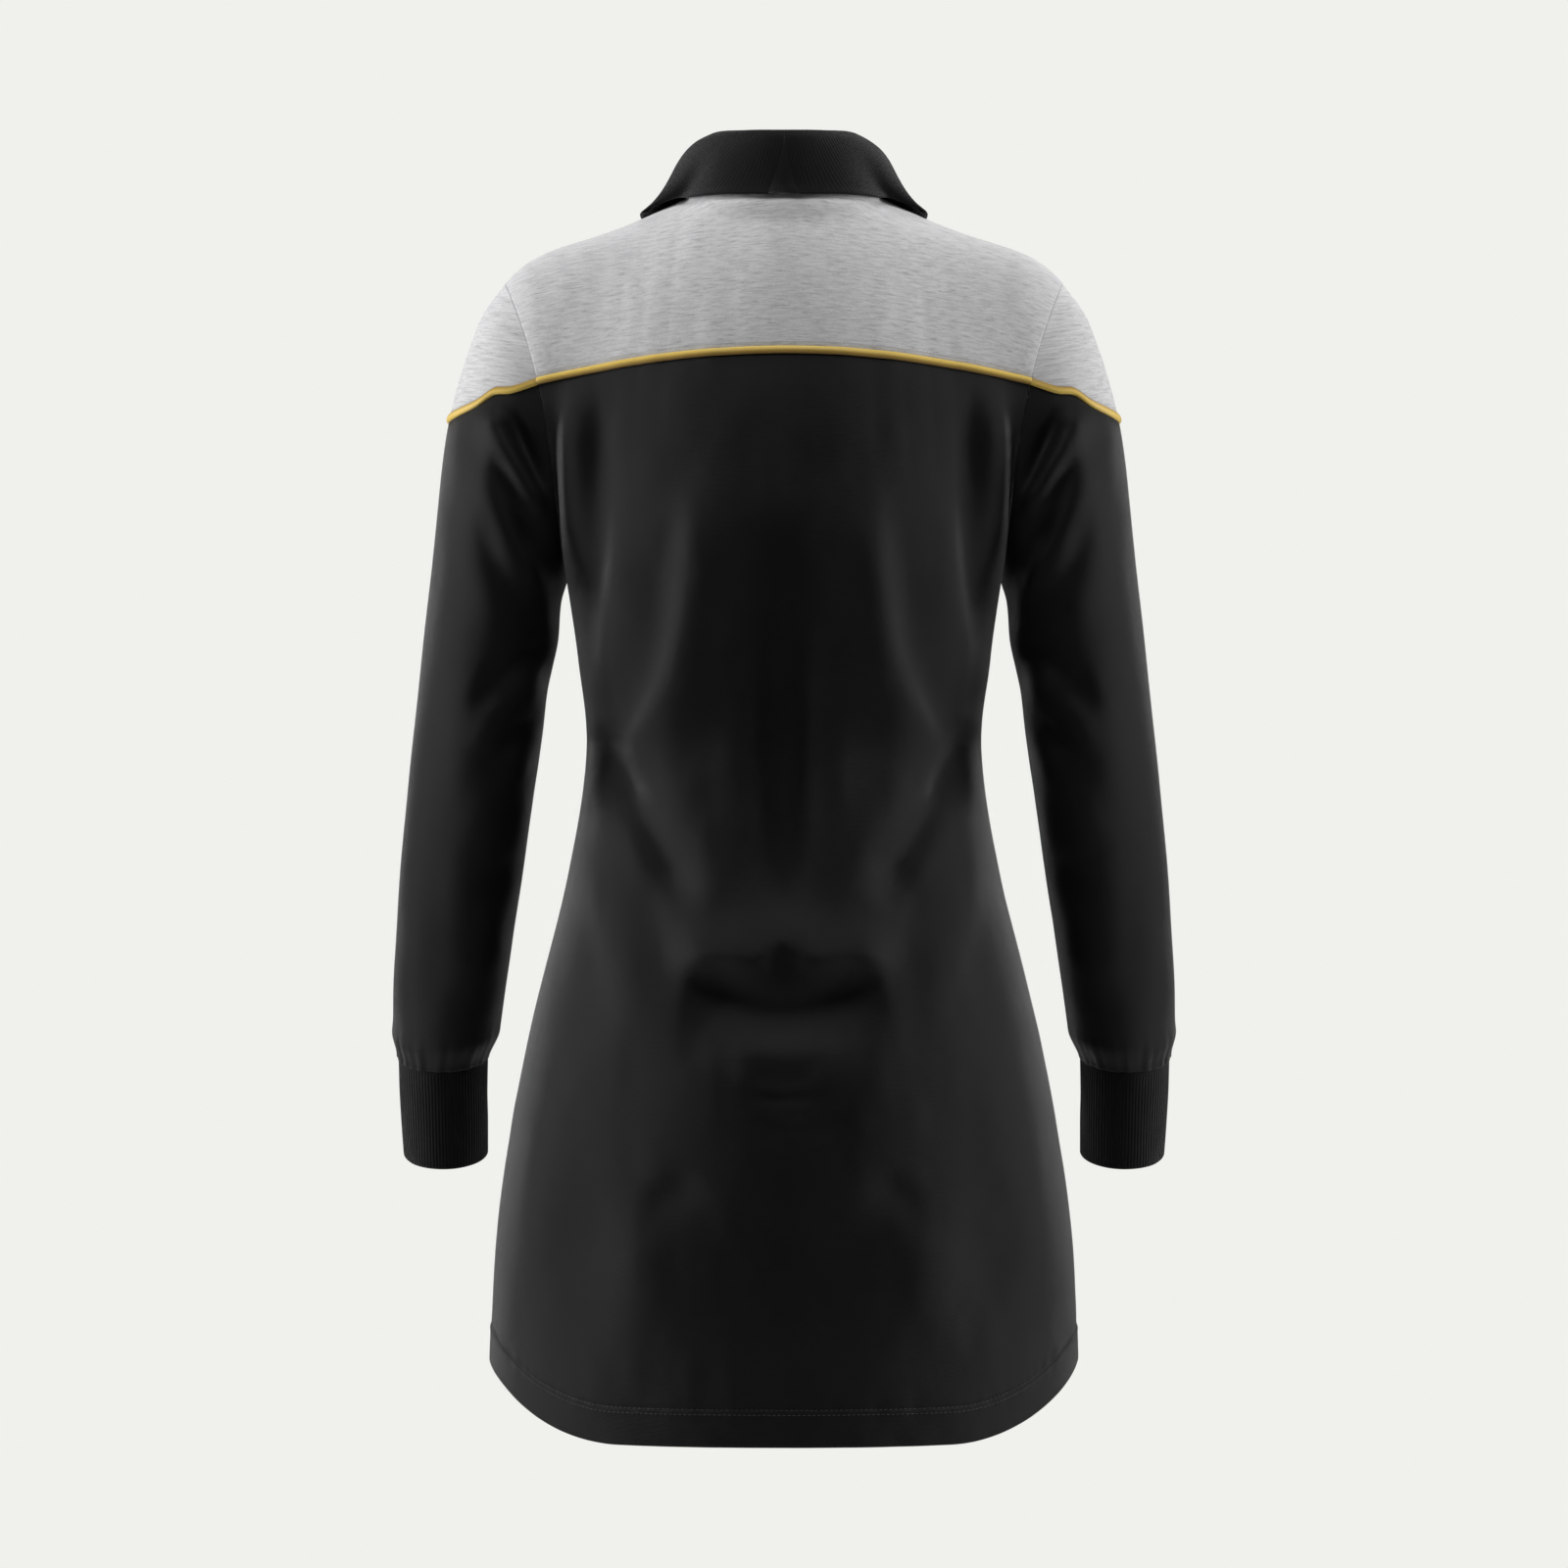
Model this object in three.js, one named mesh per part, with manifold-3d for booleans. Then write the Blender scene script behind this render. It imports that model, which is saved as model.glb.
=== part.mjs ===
// A long-sleeved polo dress, hanging as it does on a body: black jersey panels, heather-grey yokes
// and sleeve caps, gold piping between them, a fold-over rib collar, rib cuffs and a buttoned
// placket at the front. The front faces -Y, the wearer's left is +X, and +Z is up.
import * as THREE from "three";
import Module from "manifold-3d";

const wasm = await Module();
wasm.setup();

// ---------------------------------------------------------------- driving dimensions (mm)

// Heights are counted from the lowest point of the hem. The finished part is then hung so that its
// origin is the middle of the neck opening, level with the high points of the shoulders.
const CLOTH = 2; // thickness of the jersey and of the rib collar
const CUFF_CLOTH = 3; // the rib cuffs are doubled
const SEAM_GAP = 0.4; // left between two pieces that are sewn together

const SKIRT = 478; // from the hem up to the waist
const BODICE = 120; // from the waist up to the underarm

// Level outlines of the body: half width at the side seam, and depth behind and in front of it
const BODY = [
  { at: 0, side: 211, back: 146, front: 138 }, // hem
  { at: SKIRT - 338, side: 204, back: 141, front: 132 },
  { at: SKIRT - 208, side: 183, back: 133, front: 124 }, // hip
  { at: SKIRT - 88, side: 154, back: 104, front: 108 },
  { at: SKIRT, side: 141, back: 93, front: 100 }, // waist
  { at: SKIRT + BODICE - 53, side: 147, back: 99, front: 115 },
  { at: SKIRT + BODICE, side: 155, back: 106, front: 126 }, // underarm
];
const UNDERARM = BODY[BODY.length - 1];
const ROUNDNESS = 0.87; // 1 gives an ellipse, less gives a squarer outline
const HEM_RISE = 46; // the shirt-tail hem is this much higher at the side seams
const HEM_LEVEL = 0.33; // share of each half panel that hangs level before it rises

// Neck opening: half width, then the height and depth of its three main points
const NECK = {
  side: 68,
  sideZ: UNDERARM.at + 276,
  backZ: UNDERARM.at + 274,
  backY: 50,
  frontZ: UNDERARM.at + 208,
  frontY: -62,
};
const SHOULDER = { x: 199, y: 2, z: UNDERARM.at + 213 }; // outer end of the shoulder seam
const SHOULDER_ROUND = 100; // fullness of the seam just before that end
const SHOULDER_START = 0.36; // share of each half panel that ends at the neck

// How steeply the cloth rises, in degrees, where it reaches the middle of the neck, the high point of
// the shoulder and the shoulder's end; then how far it keeps its direction above the underarm, below
// the neck and below the shoulder, as shares of its height
const RISE = {
  back: { neck: 56, corner: 24, end: 4, low: 0.9, high: 0.75, over: 1.15 },
  front: { neck: 48, corner: 24, end: 4, low: 0.75, high: 0.6, over: 1.05 },
};

// Armhole: how far it reaches behind and in front of the shoulder line, and how far it bows inwards
const ARMHOLE = { back: 58, front: 54, backBow: 10, frontBow: 14, topBow: 0.4 };

// Piping: height at the centre back and front, and how it runs across the armhole and the sleeve
const PIPING = {
  backZ: UNDERARM.at + 158,
  frontZ: UNDERARM.at + 152,
  armholeZ: UNDERARM.at + 139,
  slope: 0.35,
  width: 5,
  proud: 1.1,
};

// Left sleeve from the armhole (at 0) to the cuff seam (at 1): how far its outer line lies out from
// and below the shoulder's end, and its inner line out from and below the underarm, where the middle
// lies in Y, half its depth, and how far it leans forward in degrees
const SLEEVE_LINES = [
  { at: 0, out: 0, outDrop: 0, inner: 0, innerDrop: 0, midY: 1, deep: 56, lean: 0 },
  { at: 0.08, out: 19, outDrop: 29, inner: 4.2, innerDrop: 15, midY: 1, deep: 58, lean: 0 },
  { at: 0.2, out: 40, outDrop: 97, inner: 6.5, innerDrop: 44, midY: 1, deep: 57, lean: 0 },
  { at: 0.36, out: 50, outDrop: 177, inner: 13, innerDrop: 74, midY: 1, deep: 53, lean: 0 },
  { at: 0.5, out: 59, outDrop: 261, inner: 18, innerDrop: 114, midY: 0, deep: 49, lean: 2 },
  { at: 0.62, out: 67, outDrop: 339, inner: 25, innerDrop: 158, midY: -4, deep: 46, lean: 7 },
  { at: 0.8, out: 80, outDrop: 461, inner: 39.5, innerDrop: 248, midY: -34, deep: 42, lean: 17 },
  { at: 1, out: 87, outDrop: 555, inner: 55, innerDrop: 342, midY: -66, deep: 38, lean: 18 },
];
const SLEEVE = SLEEVE_LINES.map(({ out, outDrop, inner, innerDrop, ...rest }) => ({
  ...rest,
  outX: SHOULDER.x + out,
  outZ: SHOULDER.z - outDrop,
  inX: UNDERARM.side + inner,
  inZ: UNDERARM.at - innerDrop,
}));
const ELBOW = 0.62; // place of the elbow along the sleeve
const CUFF = { length: 76, tuck: 0.86, taper: 0.94, tuckStart: 0.955 };

// Collar: how far its fold stands above the neck seam and in from it, then where the lower edge of the
// leaf lies on the dress, as shares of the half panel (across) and of the height from the underarm to
// the neck (up), and its clearance
const COLLAR_STAND = { side: 40, back: 47, front: 23, in: 11, inBack: 5, inFront: -4 };
const FOLD = {
  side: NECK.side - COLLAR_STAND.in,
  sideZ: NECK.sideZ + COLLAR_STAND.side,
  backY: NECK.backY - COLLAR_STAND.inBack,
  backZ: NECK.backZ + COLLAR_STAND.back,
  frontY: NECK.frontY + COLLAR_STAND.inFront,
  frontZ: NECK.frontZ + COLLAR_STAND.front,
  radius: 3.4,
};
const LEAF = [
  { at: 0, across: 0, up: 0.972 },
  { at: 0.25, across: 0.33, up: 0.972 },
  { at: 0.5, across: 0.52, up: 1 },
  { at: 0.75, across: 0.45, up: 0.86 },
  { at: 1, across: 0.28, up: 0.68 },
];
const LEAF_CLEAR = 2.8;
const COLLAR_OPEN = 0.975; // the collar stops this share of the way round to the centre front

const PLACKET_LENGTH = 156; // below the neck seam
const PLACKET = { width: 32, bottomZ: NECK.frontZ - PLACKET_LENGTH, proud: 1, cloth: 1.6, clear: 0.5 };
const BUTTON = { radius: 5.5, thick: 2.4, rim: 0.5, rimWidth: 1.2, shank: 1.3, count: 3 };
const BUTTON_FIRST = 20; // below the neck seam
const BUTTON_PITCH = 54;

const TAPE = { width: 10, cloth: 0.8, clear: 1.2 };
const SIZE_LABEL = { width: 36, height: 28, cloth: 0.5 };
const CARE_LABEL = { reach: 28, height: 52, cloth: 0.6, bottomZ: 112, clear: 2.5, turn: 22 };

// ---------------------------------------------------------------- number of facets

const LOWER_ROWS = 10;
const UPPER_ROWS = 6;
const YOKE_ROWS = 5;
const NECK_COLUMNS = 5;
const SHOULDER_COLUMNS = 5;
const COLLAR_COLUMNS = 24;
const STEPS = 40; // halvings, where a place on a surface is looked for

// ---------------------------------------------------------------- small helpers

const V = (x, y, z) => new THREE.Vector3(x, y, z);
const lerp = THREE.MathUtils.lerp;
const rad = THREE.MathUtils.degToRad;
const range = (count, make) => Array.from({ length: count }, (_, i) => make(i));
const mirrorX = (grid) => grid.map((row) => row.map((p) => V(-p.x, p.y, p.z)).reverse());

// Smooth curve through one column of a table, by its "at" values
function along(table, key, at) {
  const last = table.length - 1;
  let i = 0;
  while (i < last - 1 && at > table[i + 1].at) {
    i += 1;
  }
  const slope = (k) => {
    const a = table[Math.max(k - 1, 0)];
    const b = table[Math.min(k + 1, last)];
    return (b[key] - a[key]) / (b.at - a.at);
  };
  const span = table[i + 1].at - table[i].at;
  const t = (at - table[i].at) / span;
  const rise = (t * t * t - 2 * t * t + t) * slope(i) + (t * t * t - t * t) * slope(i + 1);
  return lerp(table[i][key], table[i + 1][key], t * t * (3 - 2 * t)) + rise * span;
}

// Where a falling function of t crosses zero
function crossing(fall, low, high) {
  let [a, b] = [low, high];
  for (let i = 0; i < STEPS; i += 1) {
    const middle = (a + b) / 2;
    if (fall(middle) > 0) {
      a = middle;
    } else {
      b = middle;
    }
  }
  return (a + b) / 2;
}

// ---------------------------------------------------------------- the body surface

const BACK = 1;
const FRONT = -1;

// Level outline at one height: u runs from the centre (0) to the side seam (1)
function bodyPoint(face, u, z) {
  const turn = u * Math.PI / 2;
  const deep = along(BODY, face === BACK ? "back" : "front", z);
  const x = along(BODY, "side", z) * Math.sin(turn) ** ROUNDNESS;
  return V(x, face * deep * Math.max(Math.cos(turn), 0) ** ROUNDNESS, z);
}

function hemZ(u) {
  return HEM_RISE * THREE.MathUtils.smoothstep(Math.abs(u), HEM_LEVEL, 1);
}

// Oval round the neck, by the angle round from the centre back: the neck seam, or the collar's fold
function ovalPoint(oval, angle) {
  const depth = (oval.backY - oval.frontY) / 2;
  const middle = (oval.backY + oval.frontY) / 2;
  const c = Math.cos(angle);
  const fall = c > 0 ? (oval.sideZ - oval.backZ) * c * c : (oval.sideZ - oval.frontZ) * (-c) ** 1.5;
  return V(oval.side * Math.sin(angle), middle + depth * c, oval.sideZ - fall);
}

function shoulderPoint(share) {
  const start = ovalPoint(NECK, Math.PI / 2);
  const full = SHOULDER_ROUND * share ** 4 * (1 - share);
  const end = V(SHOULDER.x, SHOULDER.y, SHOULDER.z);
  return start.lerp(end, share).add(V(0, 0, full));
}

// Armhole seam, by the angle round from the shoulder: positive behind, negative in front
function armholePoint(angle) {
  const c = Math.cos(angle);
  const s = Math.sin(angle);
  const [deep, bow] = s > 0 ? [ARMHOLE.back, ARMHOLE.backBow] : [ARMHOLE.front, ARMHOLE.frontBow];
  const x = (SHOULDER.x + UNDERARM.side) / 2 + c * (SHOULDER.x - UNDERARM.side) / 2;
  const z = (SHOULDER.z + UNDERARM.at) / 2 + c * (SHOULDER.z - UNDERARM.at) / 2;
  const y = SHOULDER.y * (1 + c) / 2 + s * deep;
  return V(x - bow * s * s * (1 + ARMHOLE.topBow * c), y, z);
}

// Cubic from a to b with the directions there
function sweep(a, b, leave, arrive, t) {
  const point = a.clone().lerp(b, t * t * (3 - 2 * t));
  point.addScaledVector(leave, t * t * t - 2 * t * t + t);
  return point.addScaledVector(arrive, t * t * t - t * t);
}

// Surface from the underarm (v = 0) over the chest or the back to the neck and shoulder (v = 1)
function plainUpper(face, u, v) {
  const low = bodyPoint(face, u, UNDERARM.at);
  const rising = low.clone().sub(bodyPoint(face, u, UNDERARM.at - 1));
  const neckAngle = u / SHOULDER_START * Math.PI / 2;
  const onNeck = u <= SHOULDER_START;
  const top = onNeck
    ? ovalPoint(NECK, face === BACK ? neckAngle : Math.PI - neckAngle)
    : shoulderPoint((u - SHOULDER_START) / (1 - SHOULDER_START));
  const rise = face === BACK ? RISE.back : RISE.front;
  const outwards = Math.max(u - SHOULDER_START, 0) / (1 - SHOULDER_START);
  const sideways = Math.min(u / SHOULDER_START, 1);
  const tilt = rad(onNeck ? lerp(rise.neck, rise.corner, sideways) : lerp(rise.corner, rise.end, outwards));
  const reach = low.distanceTo(top);
  const hold = reach * lerp(rise.high, rise.over, THREE.MathUtils.smoothstep(sideways, 0, 1));
  const arriving = V(0, -face * Math.cos(tilt), Math.sin(tilt)).multiplyScalar(hold);
  return sweep(low, top, rising.multiplyScalar(reach * rise.low), arriving, v);
}

// The same, drawn in to the armhole at u = 1
function upperPoint(face, u, v) {
  const seam = armholePoint(face * Math.PI * (1 - v));
  const pull = seam.sub(plainUpper(face, 1, v)).multiplyScalar(u ** 6);
  return plainUpper(face, u, v).add(pull);
}

// ---------------------------------------------------------------- the sleeve surface

// Ring at s along the left sleeve, by the angle round from the outer line
function sleevePoint(angle, s) {
  const c = Math.cos(angle);
  const d = Math.sin(angle);
  const at = (key) => along(SLEEVE, key, s);
  const lean = rad(at("lean"));
  const [outX, outZ, inX, inZ] = [at("outX"), at("outZ"), at("inX"), at("inZ")];
  const tuck = 1 - (1 - CUFF.tuck) * THREE.MathUtils.smoothstep(s, CUFF.tuckStart, 1);
  const ring = V(
    (outX + inX) / 2 + tuck * c * (outX - inX) / 2,
    at("midY") + tuck * d * at("deep") * Math.cos(lean),
    (outZ + inZ) / 2 + tuck * (c * (outZ - inZ) / 2 - d * at("deep") * Math.sin(lean)),
  );
  const fade = 1 - THREE.MathUtils.smoothstep(s, 0, SLEEVE[2].at);
  return fade > 0 ? ring.addScaledVector(armholePoint(angle).sub(plainRing(c, d)), fade) : ring;
}

// Plain oval of the armhole end, before it is drawn to the armhole seam
function plainRing(c, d) {
  const { outX, outZ, inX, inZ, midY, deep } = SLEEVE[0];
  return V((outX + inX) / 2 + c * (outX - inX) / 2, midY + d * deep, (outZ + inZ) / 2 + c * (outZ - inZ) / 2);
}

// ---------------------------------------------------------------- the piping line

const pipingStart = armholePoint(crossing((a) => armholePoint(a).z - PIPING.armholeZ, 0, Math.PI));

function straightZ(x) {
  return pipingStart.z - PIPING.slope * (x - pipingStart.x);
}

// Where the straight line over the sleeve meets the armhole
function pipingEnd(face) {
  const above = (a) => {
    const p = armholePoint(face * a);
    return p.z - straightZ(p.x);
  };
  return armholePoint(face * crossing(above, 0, Math.PI));
}

const PIPING_END = { [BACK]: pipingEnd(BACK), [FRONT]: pipingEnd(FRONT) };

// Height of the piping: level at the centre, a curve to the armhole, then straight over the sleeve
function pipingZ(face, x) {
  const end = PIPING_END[face];
  const centre = face === BACK ? PIPING.backZ : PIPING.frontZ;
  return x < end.x ? centre - (centre - end.z) * (x / end.x) ** 2 : straightZ(x);
}

// Where an edge of the piping crosses the armhole, as an angle round it
function pipingAngle(face, shift) {
  const above = (a) => {
    const p = armholePoint(face * a);
    return p.z - pipingZ(face, p.x) - shift;
  };
  return face * crossing(above, 0, Math.PI);
}

function pipingV(face, u, shift) {
  const below = (v) => {
    const p = upperPoint(face, u, v);
    return pipingZ(face, p.x) + shift - p.z;
  };
  return crossing(below, 0, 1);
}

function pipingS(angle, shift) {
  const face = Math.sin(angle) > 0 ? BACK : FRONT;
  const above = (s) => {
    const p = sleevePoint(angle, s);
    return p.z - pipingZ(face, p.x) - shift;
  };
  return above(0) <= 1e-6 ? 0 : crossing(above, 0, ELBOW);
}

const LOW = -PIPING.width / 2;
const HIGH = PIPING.width / 2;

// ---------------------------------------------------------------- cloth as closed solids

// A grid of points is one face of a piece of cloth. Seen from outside, its rows and columns run so
// that row direction x column direction points outwards. "closed" joins its last column to its first.
const pieces = [];

function cloth(name, material, grid, options = {}) {
  const { thick = CLOTH, closed = false, cut = null, sewn = true, ridge = 0 } = options;
  pieces.push({ name, material, grid, thick, closed, cut, sewn, ridge });
}

// A pointed end: all of a column in one place
function collapsed(grid, c) {
  return grid[0][c].distanceTo(grid[grid.length - 1][c]) < 1e-3;
}

// Directions out of the cloth at each point: the mean of the faces round it, by area
function gridNormals({ grid, closed }) {
  const columns = grid[0].length;
  const normals = grid.map((line) => line.map(() => V(0, 0, 0)));
  for (let r = 0; r < grid.length - 1; r += 1) {
    for (let c = 0; c < (closed ? columns : columns - 1); c += 1) {
      const d = (c + 1) % columns;
      const falling = grid[r + 1][d].clone().sub(grid[r][c]);
      const rising = grid[r][d].clone().sub(grid[r + 1][c]);
      const face = falling.cross(rising);
      [normals[r][c], normals[r][d], normals[r + 1][c], normals[r + 1][d]].forEach((n) => n.add(face));
    }
  }
  for (const c of [0, columns - 1].filter((end) => !closed && collapsed(grid, end))) {
    const total = V(0, 0, 0);
    normals.forEach((line) => total.add(line[c]));
    normals.forEach((line) => line[c].copy(total));
  }
  return normals.map((line) => line.map((n) => n.normalize()));
}

function onEdge({ grid, closed }, r, c) {
  return r === 0 || r === grid.length - 1 || (!closed && (c === 0 || c === grid[0].length - 1));
}

// Pieces that meet at a seam are thickened in one shared direction there, midway between their own
function shareSeamNormals() {
  const seams = [];
  for (const piece of pieces.filter((p) => p.sewn)) {
    piece.grid.forEach((line, r) => line.forEach((point, c) => {
      if (!onEdge(piece, r, c)) {
        return;
      }
      let seam = seams.find((s) => s.point.distanceTo(point) < 0.02);
      if (!seam) {
        seam = { point, members: [] };
        seams.push(seam);
      }
      seam.members.push({ piece, r, c, normal: piece.normals[r][c] });
    }));
  }
  for (const { members } of seams) {
    const sides = [];
    for (const { normal } of members) {
      const side = sides.find((s) => s.clone().normalize().dot(normal) > 0.8);
      if (side) {
        side.add(normal);
      } else {
        sides.push(normal.clone());
      }
    }
    const shared = V(0, 0, 0);
    sides.forEach((side) => shared.add(side.normalize()));
    shared.normalize();
    members.forEach(({ piece, r, c }) => {
      piece.normals[r][c] = shared;
    });
  }
}

// The edges of a piece stand back from its seams by half the gap, and where two pieces meet at a sharp
// angle each also shrinks into its own thickness
function pulledBack({ grid, closed, own, normals }) {
  const [rows, columns] = [grid.length, grid[0].length];
  const towards = (point, from, to, far) => {
    const way = to.clone().sub(from);
    const length = way.length();
    return length < 1e-6 ? point : point.addScaledVector(way, Math.min(far, 0.45 * length) / length);
  };
  return grid.map((line, r) => line.map((p, c) => {
    const point = p.clone();
    if (!closed && (c === 0 || c === columns - 1)) {
      const next = c === 0 ? 1 : columns - 2;
      const middle = Math.floor(rows / 2);
      const pointed = collapsed(grid, c);
      towards(point, p, grid[pointed ? middle : r][next], pointed ? SEAM_GAP * 1.5 : SEAM_GAP / 2);
    }
    if (r === 0) {
      towards(point, p, grid[1][c], SEAM_GAP / 2);
    }
    if (r === rows - 1) {
      towards(point, p, grid[rows - 2][c], SEAM_GAP / 2);
    }
    return point.addScaledVector(own[r][c], 2 * SEAM_GAP * (own[r][c].dot(normals[r][c]) - 1));
  }));
}

function clothTriangles(piece) {
  const outer = pulledBack(piece);
  const [rows, columns] = [outer.length, outer[0].length];
  const inner = outer.map((line, r) => line.map((p, c) => (
    p.clone().addScaledVector(piece.normals[r][c], -piece.thick)
  )));
  if (piece.ridge > 0) {
    outer[1].forEach((p, c) => p.addScaledVector(piece.normals[1][c], piece.ridge));
  }
  const faces = [];
  const put = (...points) => faces.push(points);
  const wall = (a, b) => {
    put(outer[b[0]][b[1]], outer[a[0]][a[1]], inner[a[0]][a[1]]);
    put(outer[b[0]][b[1]], inner[a[0]][a[1]], inner[b[0]][b[1]]);
  };
  const spans = piece.closed ? columns : columns - 1;
  for (let c = 0; c < spans; c += 1) {
    const d = (c + 1) % columns;
    for (let r = 0; r < rows - 1; r += 1) {
      const corners = [[r, c], [r + 1, c], [r + 1, d], [r, d]];
      const at = (i) => outer[corners[i][0]][corners[i][1]];
      const split = at(1).distanceTo(at(3)) <= at(0).distanceTo(at(2)) ? [[0, 1, 3], [1, 2, 3]] : [[0, 1, 2], [0, 2, 3]];
      split.forEach((triple) => {
        put(...triple.map((i) => outer[corners[i][0]][corners[i][1]]));
        put(...triple.reverse().map((i) => inner[corners[i][0]][corners[i][1]]));
      });
    }
    wall([0, d], [0, c]);
    wall([rows - 1, c], [rows - 1, d]);
  }
  for (let r = 0; r < rows - 1 && !piece.closed; r += 1) {
    wall([r, 0], [r + 1, 0]);
    wall([r + 1, columns - 1], [r, columns - 1]);
  }
  return faces;
}

// Points that coincide become one, and faces without an area are left out
function indexed(faces) {
  const numbers = new Map();
  const positions = [];
  const number = (p) => {
    const key = [p.x, p.y, p.z].map((n) => Math.round(n * 1000)).join(" ");
    if (!numbers.has(key)) {
      numbers.set(key, numbers.size);
      positions.push(p.x, p.y, p.z);
    }
    return numbers.get(key);
  };
  const index = faces.map((face) => face.map(number)).filter(([a, b, c]) => a !== b && b !== c && c !== a);
  return { vertProperties: new Float32Array(positions), triVerts: new Uint32Array(index.flat()) };
}

function geometryOf({ vertProperties, triVerts }) {
  const geometry = new THREE.BufferGeometry();
  geometry.setAttribute("position", new THREE.BufferAttribute(vertProperties, 3));
  geometry.setIndex(new THREE.BufferAttribute(triVerts, 1));
  geometry.computeVertexNormals();
  return geometry;
}

function facesOf(geometry) {
  const flat = geometry.index ? geometry.toNonIndexed() : geometry;
  const { position } = flat.attributes;
  return range(position.count / 3, (i) => (
    range(3, (k) => new THREE.Vector3().fromBufferAttribute(position, 3 * i + k))
  ));
}

const solidOf = (mesh) => new wasm.Manifold(new wasm.Mesh({ numProp: 3, ...mesh }));

function withoutBox(mesh, [low, high]) {
  const size = high.clone().sub(low);
  const box = new THREE.BoxGeometry(size.x, size.y, size.z);
  box.translate(...low.clone().add(high).multiplyScalar(0.5).toArray());
  return solidOf(mesh).subtract(solidOf(indexed(facesOf(box)))).getMesh();
}

// ---------------------------------------------------------------- materials

const fabric = (color, roughness = 0.9) => new THREE.MeshStandardMaterial({ color, roughness, metalness: 0 });
const blackJersey = fabric(0x17171a);
const greyJersey = fabric(0xc1c1c4);
const goldTrim = fabric(0xd9b84c, 0.7);
const blackRib = fabric(0x141416, 0.95);
const buttonPlastic = fabric(0x1c1c1e, 0.3);
const whiteTape = fabric(0xe6e5e0, 0.8);

// ---------------------------------------------------------------- body panels and yokes

const halfColumns = [
  ...range(NECK_COLUMNS, (i) => SHOULDER_START * i / NECK_COLUMNS),
  ...range(SHOULDER_COLUMNS + 1, (i) => lerp(SHOULDER_START, 1, i / SHOULDER_COLUMNS)),
];
const allColumns = [...halfColumns.slice(1).reverse().map((u) => -u), ...halfColumns];

const placed = (point, u) => (u < 0 ? V(-point.x, point.y, point.z) : point);
const across = (face, columns) => (face === BACK ? columns : [...columns].reverse());

// Part of the upper surface between two shares of the height, each a function of the column
function upperGrid(face, columns, from, to, rows) {
  return range(rows + 1, (k) => across(face, columns).map((u) => {
    const side = Math.abs(u);
    return placed(upperPoint(face, side, lerp(from(side), to(side), k / rows)), u);
  }));
}

const slot = [
  V(-PLACKET.width / 2 - SEAM_GAP, -300, PLACKET.bottomZ),
  V(PLACKET.width / 2 + SEAM_GAP, 0, NECK.sideZ + 100),
];

function bodyPanel(face, name, cut) {
  const lower = range(LOWER_ROWS, (k) => across(face, allColumns).map((u) => {
    const z = lerp(hemZ(u), UNDERARM.at, k / LOWER_ROWS);
    return placed(bodyPoint(face, Math.abs(u), z), u);
  }));
  const upper = upperGrid(face, allColumns, () => 0, (u) => pipingV(face, u, LOW), UPPER_ROWS);
  cloth(name, blackJersey, [...lower, ...upper], { cut });
}

function yoke(face, name, columns, cut) {
  const grid = upperGrid(face, columns, (u) => pipingV(face, u, HIGH), () => 1, YOKE_ROWS);
  cloth(name, greyJersey, grid, { cut });
}

function bodyPiping(face, name, columns, cut) {
  const grid = [LOW, 0, HIGH].map((shift) => across(face, columns).map((u) => {
    const point = upperPoint(face, Math.abs(u), pipingV(face, Math.abs(u), shift));
    return placed(point, u);
  }));
  cloth(name, goldTrim, grid, { cut, ridge: PIPING.proud });
}

bodyPanel(BACK, "back_body_panel", null);
bodyPanel(FRONT, "front_body_panel", slot);
yoke(BACK, "back_yoke", allColumns, null);
bodyPiping(BACK, "back_yoke_piping", allColumns, null);
for (const [side, columns] of [["left", halfColumns], ["right", halfColumns.map((u) => -u).reverse()]]) {
  yoke(FRONT, `front_yoke_${side}`, columns, slot);
  bodyPiping(FRONT, `front_yoke_piping_${side}`, columns, slot);
}

// ---------------------------------------------------------------- sleeves and cuffs

const angleAt = (face, v) => face * Math.PI * (1 - v);
const vAt = (face, shift) => 1 - Math.abs(pipingAngle(face, shift)) / Math.PI;

// Angles of the armhole's own points, so that the sleeve and the body meet point to point
const underAngles = (face) => range(UPPER_ROWS + 1, (k) => (
  angleAt(face, vAt(face, LOW) * (1 - k / UPPER_ROWS))
));
const capAngles = (face) => range(YOKE_ROWS + 1, (k) => (
  angleAt(face, lerp(1, vAt(face, HIGH), k / YOKE_ROWS))
));
const overAngles = [...capAngles(FRONT).reverse(), ...capAngles(BACK).slice(1)];
const ringAngles = [...overAngles, ...underAngles(BACK), ...underAngles(FRONT).slice(0, -1).reverse()];

const SLEEVE_ROWS = 7;
const FOREARM_STATIONS = [0, 0.2, 0.4, 0.6, 0.78, 0.88, 0.95, 1];

const CUFF_ROWS = 3;
const CAP_ROWS = 4;

function sleeveGrid() {
  return range(SLEEVE_ROWS + 1, (k) => ringAngles.map((a) => (
    sleevePoint(a, lerp(pipingS(a, LOW), ELBOW, k / SLEEVE_ROWS))
  )));
}

function capGrid() {
  return range(CAP_ROWS + 1, (k) => overAngles.map((a) => sleevePoint(a, pipingS(a, HIGH) * k / CAP_ROWS)));
}

function sleevePipingGrid() {
  return [HIGH, 0, LOW].map((shift) => [
    armholePoint(pipingAngle(FRONT, shift)),
    ...overAngles.slice(1, -1).map((a) => sleevePoint(a, pipingS(a, shift))),
    armholePoint(pipingAngle(BACK, shift)),
  ]);
}

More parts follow.
